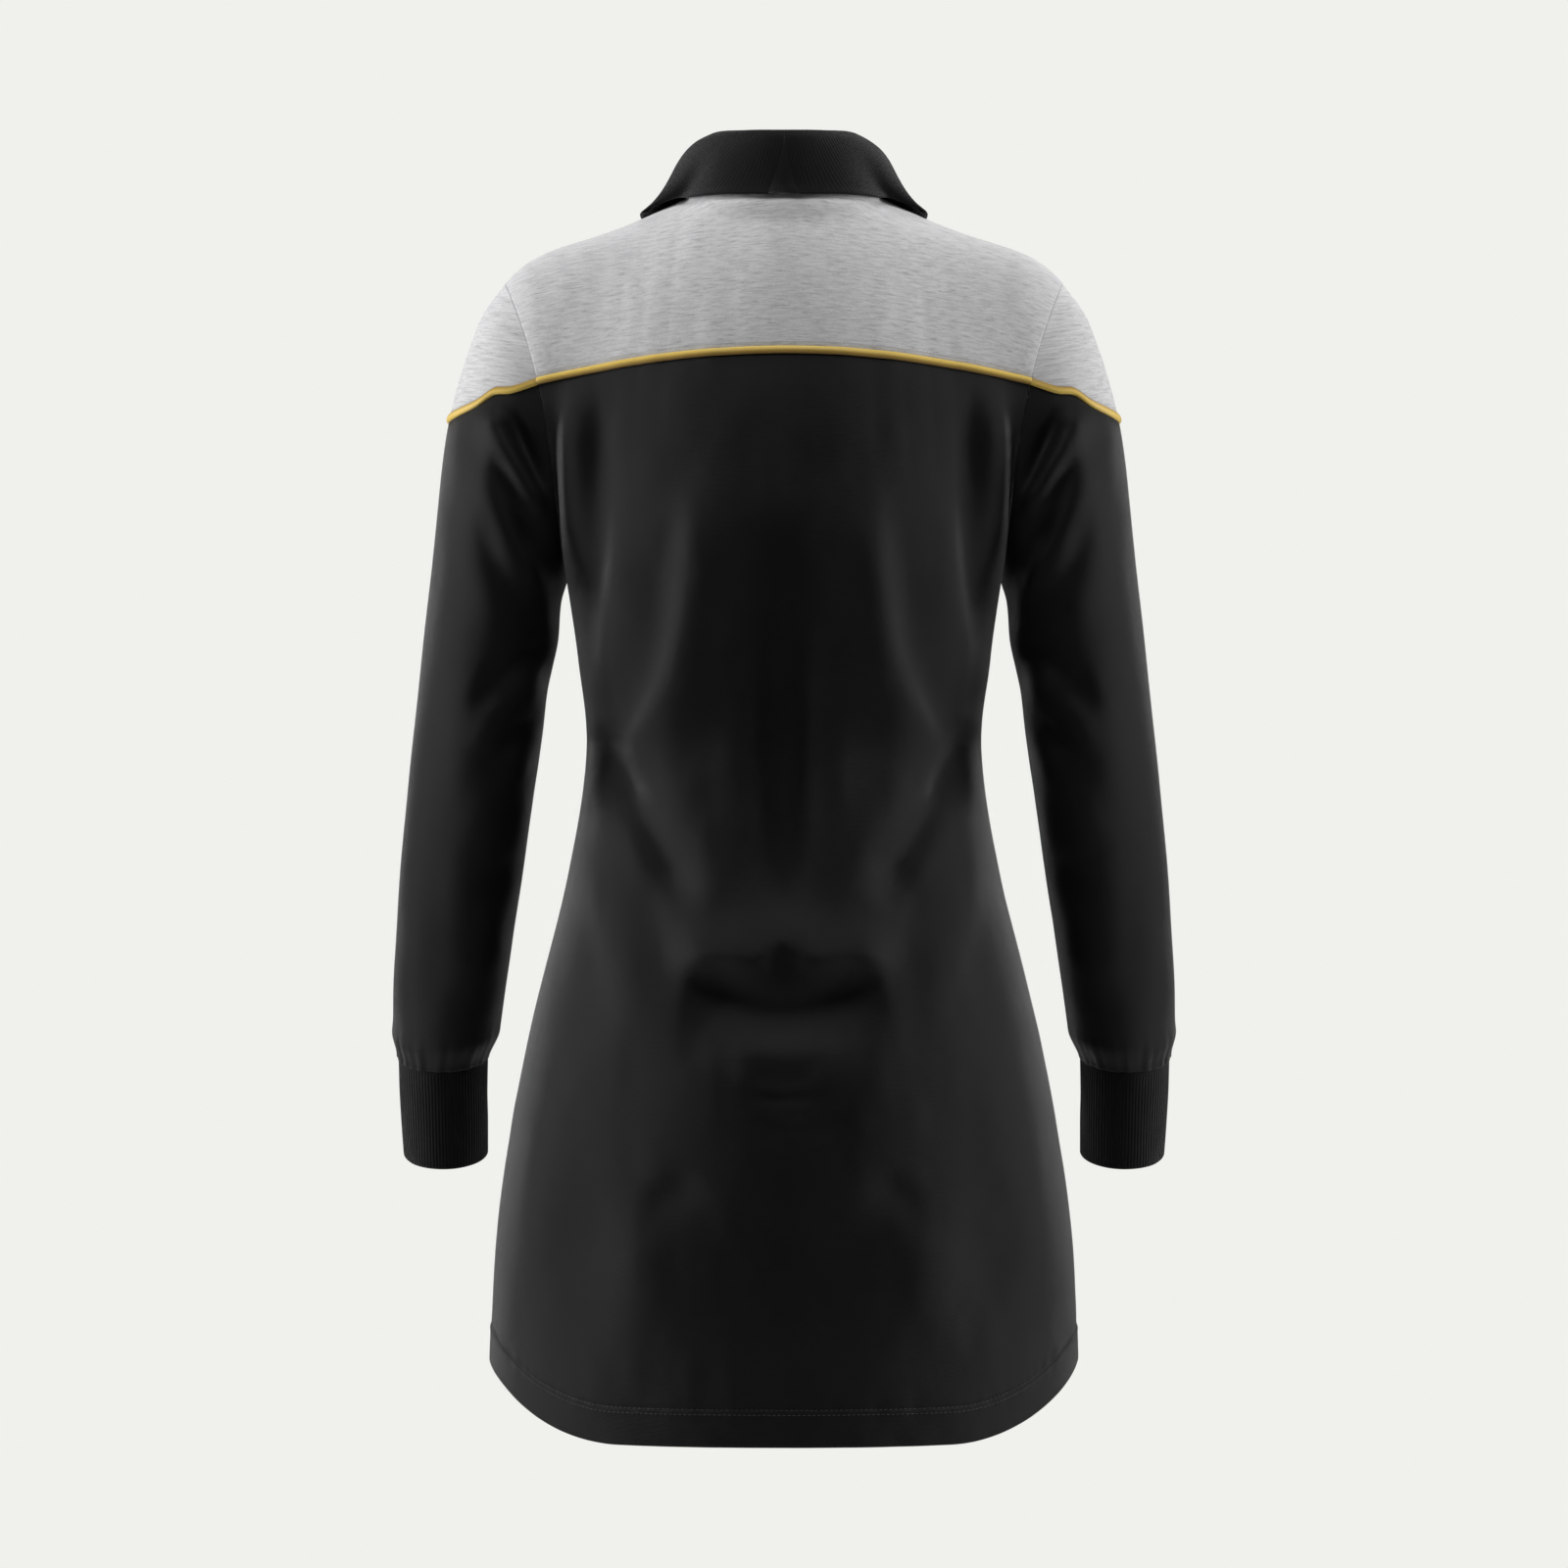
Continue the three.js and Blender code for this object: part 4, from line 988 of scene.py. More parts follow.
    def measure(self, grid, closed):
        """Flat size of the cut in metres, and its area, from the surface without its folds."""
        ring = np.concatenate([grid, grid[:, :1]], axis=1) if closed else grid
        a, b, c, d = ring[:-1, :-1], ring[1:, :-1], ring[1:, 1:], ring[:-1, 1:]
        area = np.linalg.norm(np.cross(c - a, d - b), axis=-1).sum() / 2
        width = np.linalg.norm(np.diff(ring, axis=1), axis=-1).sum(axis=1).max()
        length = np.linalg.norm(np.diff(ring, axis=0), axis=-1).sum(axis=0).max()
        self.flat = (round(width / 1000, 3) + 0.001, round(length / 1000, 3) + 0.001)
        self.area = min(area / 1e6, self.flat[0] * self.flat[1])


def mirror_grid(grid):
    flipped = grid * np.array([-1, 1, 1.0])
    return flipped[:, ::-1].copy()


def stitches(name, line, normals, material, pitch=STITCH_PITCH, share=0.72, radius=0.28):
    """A row of thread dashes that lies on a line of points, each one a little arched."""
    steps = np.linalg.norm(np.diff(line, axis=0), axis=-1)
    travel = np.concatenate([[0], np.cumsum(steps)])
    count = max(int(travel[-1] / pitch), 1)
    rings = np.array([-1, -0.8, -0.3, 0.3, 0.8, 1]) * share / 2
    thick = np.array([0.15, 0.75, 1, 1, 0.75, 0.15]) * radius
    lift = np.array([-0.6, 0.1, 0.55, 0.55, 0.1, -0.6]) * radius
    sides = 6
    points, faces = [], []
    turns = np.arange(sides) * 2 * PI / sides
    for i in range(count):
        at = (i + 0.5 + rings) * travel[-1] / count
        centre = np.stack([np.interp(at, travel, line[:, k]) for k in range(3)], -1)
        up = unit(np.stack([np.interp(at, travel, normals[:, k]) for k in range(3)], -1))
        way = unit(centre[-1] - centre[0])
        side = unit(np.cross(way, up))
        centre = centre + up * lift[:, None]
        ring = (
            centre[:, None]
            + side[:, None] * (np.cos(turns)[None, :, None] * thick[:, None, None])
            + up[:, None] * (np.sin(turns)[None, :, None] * thick[:, None, None])
        )
        first = len(points)
        points.extend(ring.reshape(-1, 3))
        for k in range(len(rings) - 1):
            row = np.arange(first + k * sides, first + (k + 1) * sides)
            faces += strip_faces(row[::-1], (row + sides)[::-1], True)
        faces.append(tuple(range(first, first + sides)))
        last = first + (len(rings) - 1) * sides
        faces.append(tuple(range(last, last + sides))[::-1])
    return make_object(name, np.array(points), faces, material)


# ------------------------------------------------------------------ the dress's body, and cloth on the arms

DRESS = "dress_body"


def on_arm(piece, lower=False):
    """Bakes the transform of cloth on the arm into its mesh; the forearm (lower) is treated the same."""
    if lower:
        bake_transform(piece)
        return
    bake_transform(piece)


# ------------------------------------------------------------------ body panels

half = np.linspace(0, 1, BODY_COLUMNS // 2 + 1)
all_columns = np.concatenate([-half[:0:-1], half])
HEM_STEPS = [0, 1.2, 3, 6, 10, 14, 18, 20.5, 21.8, 22.6, 23.4, 24.2, 25, 25.8, 26.6, 27.8, 30, 33, 37, 42]


def placed(points, columns):
    sign = np.where(columns < 0, -1.0, 1.0)
    return points * np.stack([sign, np.ones_like(sign), np.ones_like(sign)], -1)


def across_face(face, columns):
    return columns if face == BACK else columns[::-1]


def upper_grid(face, columns, low, high, rows):
    columns = across_face(face, columns)
    u = np.abs(columns)
    t = np.linspace(0, 1, rows + 1)[:, None]
    v = lerp(low(u)[None], high(u)[None], t)
    base = placed(upper_point(face, np.broadcast_to(u, v.shape), v), columns[None])
    return base, np.broadcast_to(columns, v.shape)


def body_panel(face):
    columns = across_face(face, all_columns)
    hem = hem_height(columns)
    near = hem[None] + np.array(HEM_STEPS)[:, None]
    t = np.linspace(0, 1, SKIRT_ROWS + 1)[1:-1, None]
    z = np.concatenate([near, lerp(near[-1][None], UNDERARM_HEIGHT, t)])
    shape = (z.shape[0], len(columns))
    skirt = body_point(face, np.broadcast_to(np.abs(columns), shape), z)
    skirt = placed(skirt, columns[None])
    upper = upper_grid(face, all_columns, np.zeros_like, lambda u: piping_share(face, u, LOW), UPPER_ROWS)
    base = np.concatenate([skirt, upper[0]])
    shares = np.broadcast_to(columns, base.shape[:2])
    normals = grid_normals(base)
    above = base[..., 2] - hem[None]
    step = 0.7 * (1 - smoothstep(above, HEM_DEPTH - 0.8, HEM_DEPTH + 1.2))
    groove = -0.6 * np.exp(-(((above - HEM_DEPTH) / 1.1) ** 2))
    x = base[..., 0]
    pucker = 0.25 * np.sin(x * 0.8 + 3 * np.sin(x * 0.11)) * np.exp(-(((above - HEM_DEPTH) / 6) ** 2))
    height = body_folds(face, base, shares) + step + groove + pucker
    grid = base + normals * height[..., None]
    thick = np.where(above < HEM_DEPTH, HEM_CLOTH, JERSEY)
    return grid, base, thick


HEM_LINE = HEM_STEPS.index(25)
panels = {}
for face, word in ((BACK, "back"), (FRONT, "front")):
    grid, base, thick = body_panel(face)
    panels[word] = Sheet(f"{word}_panel_jersey", grid, BLACK, thick, flat_grid=base)

# ------------------------------------------------------------------ yokes and piping on the body

right_half = -half[::-1]
yoke_columns = {"back": all_columns, "front_left": half, "front_right": right_half}


def yoke_grid(face, columns):
    """A yoke. Its folds fade out towards the shoulder seam, so that back and front meet there."""
    base, shares = upper_grid(face, columns, lambda u: piping_share(face, u, HIGH), np.ones_like, YOKE_ROWS)
    fade = 1 - smoothstep(np.linspace(0, 1, YOKE_ROWS + 1), 0.7, 0.95)[:, None]
    height = body_folds(face, base, shares) * fade
    return base, base + grid_normals(base) * height[..., None]


def piping_grid(face, columns):
    """Strip between the two edges of the piping, arched across its width."""
    shifts = np.linspace(LOW - PIPING_TUCK, HIGH + PIPING_TUCK, PIPING_ROWS + 1)
    columns = across_face(face, columns)
    u = np.broadcast_to(np.abs(columns), (len(shifts), len(columns)))
    v = piping_share(face, u, shifts[:, None])
    base = placed(upper_point(face, u, v), columns[None])
    arch = arch_of(shifts)[:, None]
    normals = grid_normals(base)
    height = body_folds(face, base, np.broadcast_to(columns, v.shape)) + arch
    if face == FRONT:
        covered = 1 - smoothstep(np.abs(base[..., 0]), PLACKET["width"] / 2 - 2, PLACKET["width"] / 2)
        height = lerp(height, UNDER_PLACKET, covered)
    return base + normals * height[..., None], base


def arch_of(shifts):
    edge = HIGH + PIPING_TUCK
    round_it = np.sqrt(np.maximum(1 - (shifts / edge) ** 2, 0)) ** 0.8
    return (PIPING_PROUD + PIPING_SUNK) * round_it - PIPING_SUNK


sheets = {}
for key, columns in yoke_columns.items():
    face = BACK if key == "back" else FRONT
    base, grid = yoke_grid(face, columns)
    sheets[f"{key}_yoke"] = Sheet(f"{key}_yoke_heather", grid, GREY, flat_grid=base)
    grid, base = piping_grid(face, columns)
    sheets[f"{key}_piping"] = Sheet(f"{key}_piping_tape", grid, GOLD, PIPING_CLOTH, flat_grid=base)

# ------------------------------------------------------------------ sleeves


def over_angles(shift):
    low = float(piping_angle(FRONT, shift))
    high = float(piping_angle(BACK, shift))
    return np.linspace(low, high, OVER_COLUMNS)


def ring_angles():
    """Round the sleeve from its underarm seam, in front first."""
    over = over_angles(LOW)
    before = np.linspace(-PI, over[0], UNDER_COLUMNS // 2)[:-1]
    behind = np.linspace(over[-1], PI, UNDER_COLUMNS // 2)[1:-1]
    return np.concatenate([before, over, behind])


RING = ring_angles()
OVER_SLEEVE_ROWS = 78
FOREARM_ROWS = 104


def raised(base, angles, s, closed=False, extra=0.0):
    normals = grid_normals(base, closed)
    return base + normals * (arm_folds(base, angles, s) + extra)[..., None]


def sleeve_grids():
    """The whole sleeve below the piping, with its own row at the place where it is cut."""
    first = piping_station(RING, LOW)
    t = np.linspace(0, 1, OVER_SLEEVE_ROWS + 1)[:, None]
    upper = lerp(first[None], SLEEVE_SPLIT, t)
    lower = np.linspace(SLEEVE_SPLIT, 1, FOREARM_ROWS + 1)[1:, None] + 0 * RING[None]
    s = np.concatenate([upper, lower])
    angles = np.broadcast_to(RING, s.shape)
    base = sleeve_point(angles, s)
    grid = raised(base, angles, s, True)
    return grid, base, grid_normals(grid, True)


def cap_grids():
    angles = over_angles(HIGH)
    last = piping_station(angles, HIGH)
    t = np.linspace(0, 1, 49)[:, None]
    s = t * last[None]
    angles = np.broadcast_to(angles, s.shape)
    base = sleeve_point(angles, s)
    return raised(base, angles, s), base, angles


def sleeve_piping_grids():
    shifts = np.linspace(HIGH + PIPING_TUCK, LOW - PIPING_TUCK, PIPING_ROWS + 1)
    angles = np.stack([over_angles(shift) for shift in shifts])
    s = piping_station(angles, shifts[:, None])
    s[:, 0] = 0
    s[:, -1] = 0
    base = sleeve_point(angles, s)
    return raised(base, angles, s, extra=arch_of(shifts)[:, None]), base


def cuff_frame(angles, share):
    wrist = {key: values[-1] for key, values in SLEEVE.items()}
    centre = np.array([
        (wrist["outX"] + wrist["inX"]) / 2,
        wrist["midY"],
        (wrist["outZ"] + wrist["inZ"]) / 2,
    ])
    lean = math.radians(wrist["lean"])
    down = np.array([0, -math.sin(lean), -math.cos(lean)])
    spoke = sleeve_point(angles, np.ones_like(angles)) - centre
    spoke = spoke * lerp(1, CUFF["taper"], share)[..., None]
    return centre + spoke + down * (CUFF["length"] * share)[..., None]


def cuff_grids():
    """Knitted ribs that run down the cuff and close up a little at both ends."""
    columns = CUFF_RIBS * 8
    angles = np.linspace(-PI, PI, columns, endpoint=False)
    share = np.linspace(0, 1, 46)[:, None] + 0 * angles[None]
    angles = np.broadcast_to(angles, share.shape)
    base = cuff_frame(angles, share)
    sway = 0.05 * np.sin(share * 5 + angles * 3)
    rib = np.abs(np.cos((angles + sway * 0.08) * CUFF_RIBS / 2)) ** 0.7
    ends = smoothstep(share, 0, 0.05) * (1 - 0.5 * smoothstep(share, 0.95, 1))
    wave = 0.5 * np.sin(angles * 3 + 0.6) * np.sin(share * PI) + 0.5 * noise(angles * 2.2, share * 3, 31)
    height = (rib - 0.6) * 0.42 * ends + wave
    normals = grid_normals(base, True)
    return base + normals * height[..., None], base


ARM_AXIS = np.array([0.17, 0, -0.985])  # down the sleeve


def arm_weave(base, angles):
    """The knit of a sleeve runs down the arm, whatever the slant of its upper edge."""
    return angles * ROUND_ARM, base @ ARM_AXIS


sleeve_grid, sleeve_base, sleeve_normals = sleeve_grids()
cap_grid, cap_base, cap_angles = cap_grids()
cap_weave = arm_weave(cap_base, cap_angles)
sleeve_weave = arm_weave(sleeve_base, np.broadcast_to(RING, sleeve_base.shape[:2]))
tape_grid, tape_base = sleeve_piping_grids()
cuff_grid, cuff_base = cuff_grids()
cut = OVER_SLEEVE_ROWS

for side in ("left", "right"):

    def turned(grid):
        return grid if side == "left" else mirror_grid(grid)

    def turned_weave(weave, rows=slice(None)):
        across, up = weave[0][rows], weave[1][rows]
        return (across, up) if side == "left" else (-across[:, ::-1], up[:, ::-1])

    sheets[f"{side}_cap"] = Sheet(
        f"{side}_cap_heather",
        turned(cap_grid),
        GREY,
        flat_grid=turned(cap_base),
        weave=turned_weave(cap_weave),
    )
    sheets[f"{side}_tape"] = Sheet(
        f"{side}_cap_piping_tape",
        turned(tape_grid),
        GOLD,
        PIPING_CLOTH,
        flat_grid=turned(tape_base),
    )
    sheets[f"{side}_upper"] = Sheet(
        f"{side}_sleeve_jersey",
        turned(sleeve_grid[: cut + 1]),
        BLACK,
        closed=True,
        plain=("end",),
        normals=turned(sleeve_normals[: cut + 1]),
        flat_grid=turned(sleeve_base[: cut + 1]),
        weave=turned_weave(sleeve_weave, slice(None, cut + 1)),
    )
    sheets[f"{side}_lower"] = Sheet(
        f"{side}_forearm_jersey",
        turned(sleeve_grid[cut:]),
        BLACK,
        closed=True,
        plain=("start",),
        normals=turned(sleeve_normals[cut:]),
        flat_grid=turned(sleeve_base[cut:]),
        weave=turned_weave(sleeve_weave, slice(cut, None)),
    )
    sheets[f"{side}_cuff"] = Sheet(
        f"{side}_cuff_rib",
        turned(cuff_grid),
        RIB,
        CUFF_CLOTH,
        closed=True,
        flat_grid=turned(cuff_base),
        ribbed=True,
    )

# ------------------------------------------------------------------ collar


STAND_ROWS = 8
FOLD_ROWS = 5
LEAF_ROWS = 30
EDGE_ROUNDS = 338  # how often the edge of the leaf is smoothed


def softened(line, rounds):
    """A line of points with its corners rounded off; the ends stay."""
    for _ in range(rounds):
        line = line.copy()
        line[1:-1] = (line[:-2] + 2 * line[1:-1] + line[2:]) / 4
    return line


def bezier(a, b, c, d, t):
    return a * (1 - t) ** 3 + 3 * b * t * (1 - t) ** 2 + 3 * c * t * t * (1 - t) + d * t**3


def collar_lines(w):
    """Lines across the collar at w, the share of the way from the centre back to the centre front:
    up the inside of the stand, over the fold and down the leaf."""
    angle = np.asarray(w) * PI
    out = vectors(np.sin(angle), np.cos(angle), 0)
    up = np.array([0, 0, 1.0])
    seam = oval_point(NECK, angle)
    level = 1.8 * smoothstep(angle, 0.5, 1.1) - 3.6 * (1 - smoothstep(angle, 0, 1.0))
    middle = oval_point(FOLD, angle) + up * (level[..., None] - FOLD_RADIUS)
    rise = unit(middle - seam)
    foot = seam + rise * 0.4 - out * COLLAR_CLOTH
    inside = middle - out * FOLD_RADIUS
    lines = [lerp(foot, inside, k / STAND_ROWS) for k in range(STAND_ROWS)]
    for k in range(FOLD_ROWS + 1):
        turn = k * PI / 2 / FOLD_ROWS
        lines.append(middle - out * FOLD_RADIUS * math.cos(turn) + up * FOLD_RADIUS * math.sin(turn))
    top = lines[-1]
    across = along(LEAF, "across", w)
    height = np.minimum(along(LEAF, "up", w), 1)
    behind = (np.asarray(w) < 0.5)[..., None]
    lift = LEAF_CLEAR + COLLAR_CLOTH
    back_edge = upper_point(BACK, across, height) + upper_normal(BACK, across, height) * lift
    front_edge = upper_point(FRONT, across, height) + upper_normal(FRONT, across, height) * lift
    edge = softened(np.where(behind, back_edge, front_edge), EDGE_ROUNDS)
    length = np.linalg.norm(edge - top, axis=-1, keepdims=True)
    full = (np.sin(angle) ** 2)[..., None]  # the leaf is fullest at the sides of the neck
    flare = unit(edge - seam - up * length * lerp(0.5, 0.2, full))
    over = top + out * length * lerp(0.25, 0.37, full) - up * length * lerp(0.3, 0.13, full)
    under = edge - flare * length * lerp(0.35, 0.45, full)
    lines += [bezier(top, over, under, edge, (k + 1) / LEAF_ROWS) for k in range(LEAF_ROWS)]
    return np.stack(lines)


def collar_grids():
    columns = COLLAR_RIBS * 4
    w = COLLAR_OPEN * np.linspace(1, -1, columns + 1)
    base = collar_lines(np.abs(w))
    base = placed(base, w)
    rows = base.shape[0]
    normals = grid_normals(base)
    phase = np.arange(columns + 1) / 4
    rib = 0.1 * np.cos(phase * 2 * PI)[None]
    row = np.arange(rows)[:, None]
    top_row = STAND_ROWS + FOLD_ROWS
    leaf = smoothstep(row, top_row, top_row + 5)
    edge = smoothstep(row, rows - 4.5, rows - 2.5)
    bead = 0.35 * edge
    away_from_tips = (1 - smoothstep(np.abs(w), 0.85, 1))[None]
    roll = 1.1 * leaf * noise(w[None] * 5 + 9, row / 14, 41) * away_from_tips
    height = rib * (1 - 0.8 * edge) * smoothstep(row, 1, 4) + bead + roll
    return base + normals * height[..., None], base


grid, base = collar_grids()
sheets["collar"] = Sheet("collar_rib_knit", grid, RIB, COLLAR_CLOTH, flat_grid=base, ribbed=True)

# ------------------------------------------------------------------ neck tape and labels


def inside_neck(name, columns, drops, depth, thick):
    height = NECK["backZ"] - UNDERARM_HEIGHT
    u = np.broadcast_to(np.abs(columns), (len(drops), len(columns)))
    v = 1 - np.array(drops)[::-1, None] / height + 0 * u
    points = upper_point(BACK, u, v) - upper_normal(BACK, u, v) * depth
    return Sheet(name, placed(points, columns[None]), WHITE_TAPE, thick)


TAPE_CLOTH = 0.8
INSIDE_CLEAR = 1.2
TAPE_DEPTH = COLLAR_CLOTH + INSIDE_CLEAR
LABEL_DEPTH = TAPE_DEPTH + TAPE_CLOTH + INSIDE_CLEAR
tape_share = SHOULDER_START * np.linspace(-1, 1, 81)
tape_drops = np.linspace(1, 1 + TAPE_WIDTH, 9)
sheets["neck_tape"] = inside_neck("neck_tape_woven", tape_share, tape_drops, TAPE_DEPTH, TAPE_CLOTH)
label_half = SIZE_LABEL_WIDTH / 2 / NECK["side"] * SHOULDER_START * 2 / PI
label_share = label_half * np.linspace(-1, 1, 19)
label_drops = np.linspace(2, 2 + SIZE_LABEL_HEIGHT, 15)
sheets["size_label"] = inside_neck("size_label_woven", label_share, label_drops, LABEL_DEPTH, 0.5)


def care_label():
    """A soft loop of tape sewn into the side seam."""
    low, high = (np.array(corner) * 1000 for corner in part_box("care_label"))
    high_z, low_z = high[2] + NECK_HEIGHT, low[2] + NECK_HEIGHT
    t = np.linspace(0, 1, 17)
    rows = np.linspace(low_z, high_z, 25)
    x = lerp(high[0] - 0.4, low[0] + 0.6, t) + 0.9 * np.sin(t * 4.2)
    y = lerp(low[1] + 0.4, high[1], t)
    grid = vectors(x[None], y[None], rows[:, None])
    grid[..., 0] += 0.5 * np.sin(rows / 9)[:, None] * t[None]
    return grid


sheets["care_label"] = Sheet("care_label_woven", care_label(), WHITE_TAPE, 0.4)

# ------------------------------------------------------------------ placket


def front_shares(x, z):
    """Shares of the half panel and of the height where the front has this x and z."""
    u = x / 200
    for _ in range(5):
        v = crossing(lambda t: z - upper_point(FRONT, u, t)[..., 2], 0, 1, np.shape(u))
        u = u * np.where(x > 0, x / np.maximum(upper_point(FRONT, u, v)[..., 0], 1e-6), 1)
    return u, v


def front_surface(x, z, height):
    x, z = np.broadcast_arrays(np.asarray(x, float), np.asarray(z, float))
    u, v = front_shares(np.abs(x), z)
    points = upper_point(FRONT, u, v)
    normals = upper_normal(FRONT, u, v)
    sign = np.where(x < 0, -1.0, 1.0)[..., None] * np.array([1, 0, 0]) + np.array([0, 1, 1.0])
    return (points + normals * height) * sign, normals * sign


PLACKET_SEAM = 2.2  # the stitching is this far from its edge


def placket(name, height):
    bottom = PLACKET["bottomZ"] + 0.4
    x = np.linspace(PLACKET["width"] / 2, -PLACKET["width"] / 2, 33)
    z = np.linspace(bottom, NECK["frontZ"] - 1, 121)
    points, normals = front_surface(x[None] + 0 * z[:, None], z[:, None] + 0 * x[None], height)
    from_side = (PLACKET["width"] / 2 - np.abs(x))[None]
    from_end = (z - bottom)[:, None]
    groove = 0
    for inwards in (from_side, from_end):
        groove = groove - 0.22 * np.exp(-(((inwards - PLACKET_SEAM) / 0.6) ** 2))
    soft = 0.25 * noise(x[None] / 9 + 5, z[:, None] / 17, 51)
    grid = points + normals * (groove + soft)[..., None]
    return Sheet(name, grid, BLACK, PLACKET["cloth"] - 0.2, flat_grid=points)


sheets["placket_top"] = placket("placket_upper_band", PLACKET["proud"])
under_height = PLACKET["proud"] - PLACKET["cloth"] - PLACKET["clear"]
sheets["placket_under"] = placket("placket_under_band", under_height)

# ------------------------------------------------------------------ buttons and buttonholes


def turn_to(facing):
    """Axes with the last one along facing."""
    facing = unit(facing)
    side = unit(np.cross(np.array([0, 0, 1.0]), facing))
    return np.stack([side, np.cross(facing, side), facing])


def button(name, seat, axes):
    """A four-hole button with a dished face and a rounded rim, and holes right through it."""
    work = bmesh.new()
    outline = [
        (0.2, 0), (BUTTON_RADIUS - 0.9, 0), (BUTTON_RADIUS - 0.25, 0.35), (BUTTON_RADIUS, 1.0),
        (BUTTON_RADIUS - 0.1, 1.7), (BUTTON_RADIUS - 0.6, 2.2), (BUTTON_RADIUS - 1.1, BUTTON_THICK),
        (BUTTON_RADIUS - 1.6, 2.3), (BUTTON_RADIUS - 2.1, 1.95), (BUTTON_RADIUS - 3.0, 1.8), (0.2, 1.75),
    ]
    turns = 48
    angles = [k * 2 * PI / turns for k in range(turns)]
    rings = []
    for radius, height in outline:
        rings.append([work.verts.new((radius * math.cos(t), radius * math.sin(t), height)) for t in angles])
    for low, high in zip(rings, rings[1:]):
        for k in range(turns):
            work.faces.new((low[k], low[(k + 1) % turns], high[(k + 1) % turns], high[k]))
    work.faces.new(rings[0][::-1])
    work.faces.new(rings[-1])
    mesh = bpy.data.meshes.new(name)
    work.to_mesh(mesh)
    work.free()
    made = bpy.data.objects.new(name, mesh)
    bpy.context.scene.collection.objects.link(made)
    drill_points, drill_faces = [], []
    away, radius = BUTTON_HOLE["away"], BUTTON_HOLE["radius"]
    turns = [k * PI / 8 for k in range(16)]
    for x, y in ((away, away), (-away, away), (-away, -away), (away, -away)):
        first = len(drill_points)
        for height in (-1, 4):
            drill_points += [(x + radius * math.cos(t), y + radius * math.sin(t), height) for t in turns]
        low = np.arange(first, first + 16)
        drill_faces += [tuple(quad[::-1]) for quad in strip_faces(low, low + 16, True)]
        drill_faces += [tuple(low[::-1]), tuple(low + 16)]
    drill_mesh = bpy.data.meshes.new("drill")
    drill_mesh.from_pydata(drill_points, [], [tuple(int(i) for i in f) for f in drill_faces])
    drill = bpy.data.objects.new("drill", drill_mesh)
    bpy.context.scene.collection.objects.link(drill)
    cutter = made.modifiers.new("holes", "BOOLEAN")
    cutter.object = drill
    cutter.operation = "DIFFERENCE"
    cutter.solver = "EXACT"
    view = bpy.context.evaluated_depsgraph_get()
    holed = bpy.data.meshes.new_from_object(made.evaluated_get(view))
    made.modifiers.clear()
    made.data = holed
    bpy.data.objects.remove(drill)
    local = np.array([v.co[:] for v in holed.vertices])
    world = in_metres(seat + local @ axes)
    holed.vertices.foreach_set("co", world.ravel())
    holed.materials.clear()
    holed.materials.append(BUTTON)
    holed.polygons.foreach_set("use_smooth", [True] * len(holed.polygons))
    holed.set_sharp_from_angle(angle=math.radians(35))
    holed.update()
    return made


def tube(centre, radius, sides):
    """Points and faces of a closed tube along a line."""
    way = np.gradient(centre, axis=0)
    helper = np.array([0.3, 0.2, 0.9])
    side = unit(np.cross(way, helper))
    other = unit(np.cross(way, side))
    turns = np.arange(sides) * 2 * PI / sides
    ring = (
        centre[:, None]
        + side[:, None] * np.cos(turns)[None, :, None] * radius
        + other[:, None] * np.sin(turns)[None, :, None] * radius
    )
    faces = []
    for k in range(len(centre) - 1):
        row = np.arange(k * sides, (k + 1) * sides)
        faces += strip_faces(row, row + sides, True)
    last = (len(centre) - 1) * sides
    faces.append(tuple(range(sides))[::-1])
    faces.append(tuple(range(last, last + sides)))
    return ring.reshape(-1, 3), faces


def button_thread(name, seat, axes):
    """Two crossed loops of thread through the holes, down to the cloth."""
    points, faces = [], []
    for sign in (1, -1):
        for offset in (-0.24, 0.24):
            t = np.linspace(-1, 1, 15)
            reach = BUTTON_HOLE["away"] * np.clip(t * 1.25, -1, 1)
            height = np.where(np.abs(t) < 0.8, 2.25 - 0.25 * t**2, 1.9 - 19 * (np.abs(t) - 0.8))
            shift = offset / math.sqrt(2)
            local = np.stack([reach + shift, sign * reach - sign * shift, height], -1)
            some, more = tube(seat + local @ axes, 0.2, 6)
            faces += [tuple(i + sum(len(p) for p in points) for i in f) for f in more]
            points.append(some)
    return make_object(name, np.concatenate(points), faces, BLACK_THREAD)


def buttonhole(name, z):
    """Close zigzag stitches round an upright slit."""
    t = np.linspace(0, 2 * PI, 160, endpoint=False)
    x = 1.15 * np.sign(np.cos(t)) * np.abs(np.cos(t)) ** 0.5
    up = 7.2 * np.sign(np.sin(t)) * np.abs(np.sin(t)) ** 0.75
    zig = np.where(np.arange(160) % 2 == 0, 0.55, -0.55)
    across = x + zig * np.cos(t)
    along_it = z + up + zig * 0.4 * np.sin(t)
    line = front_surface(across, along_it, PLACKET["proud"] + 0.15)[0]
    points, faces = tube(np.concatenate([line, line[:1]]), 0.2, 5)
    return make_object(name, points, faces, BLACK_THREAD)


button_parts = []
for number, z in enumerate(BUTTON_HEIGHTS, 1):
    seats, normals = front_surface([0.0], [float(z)], PLACKET["proud"] + BUTTON_SHANK)
    axes = turn_to(normals[0])
    made = button(f"button_{number}_four_hole", seats[0], axes)
    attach(made, DRESS)
    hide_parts(f"button_{number}")
    tied = button_thread(f"button_{number}_thread", seats[0], axes)
    hole = buttonhole(f"buttonhole_{number}", z - 0.6)
    for piece in (tied, hole):
        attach(piece, DRESS)
    button_parts += [tied, hole]

# ------------------------------------------------------------------ rows of stitching


def sewn(name, line, normals, material, body=None, side=None, slot="black_jersey", **settings):
    made = stitches(name, line, normals, material, **settings)
    if body:
        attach(made, body)
    else:
        on_arm(made)
    return made


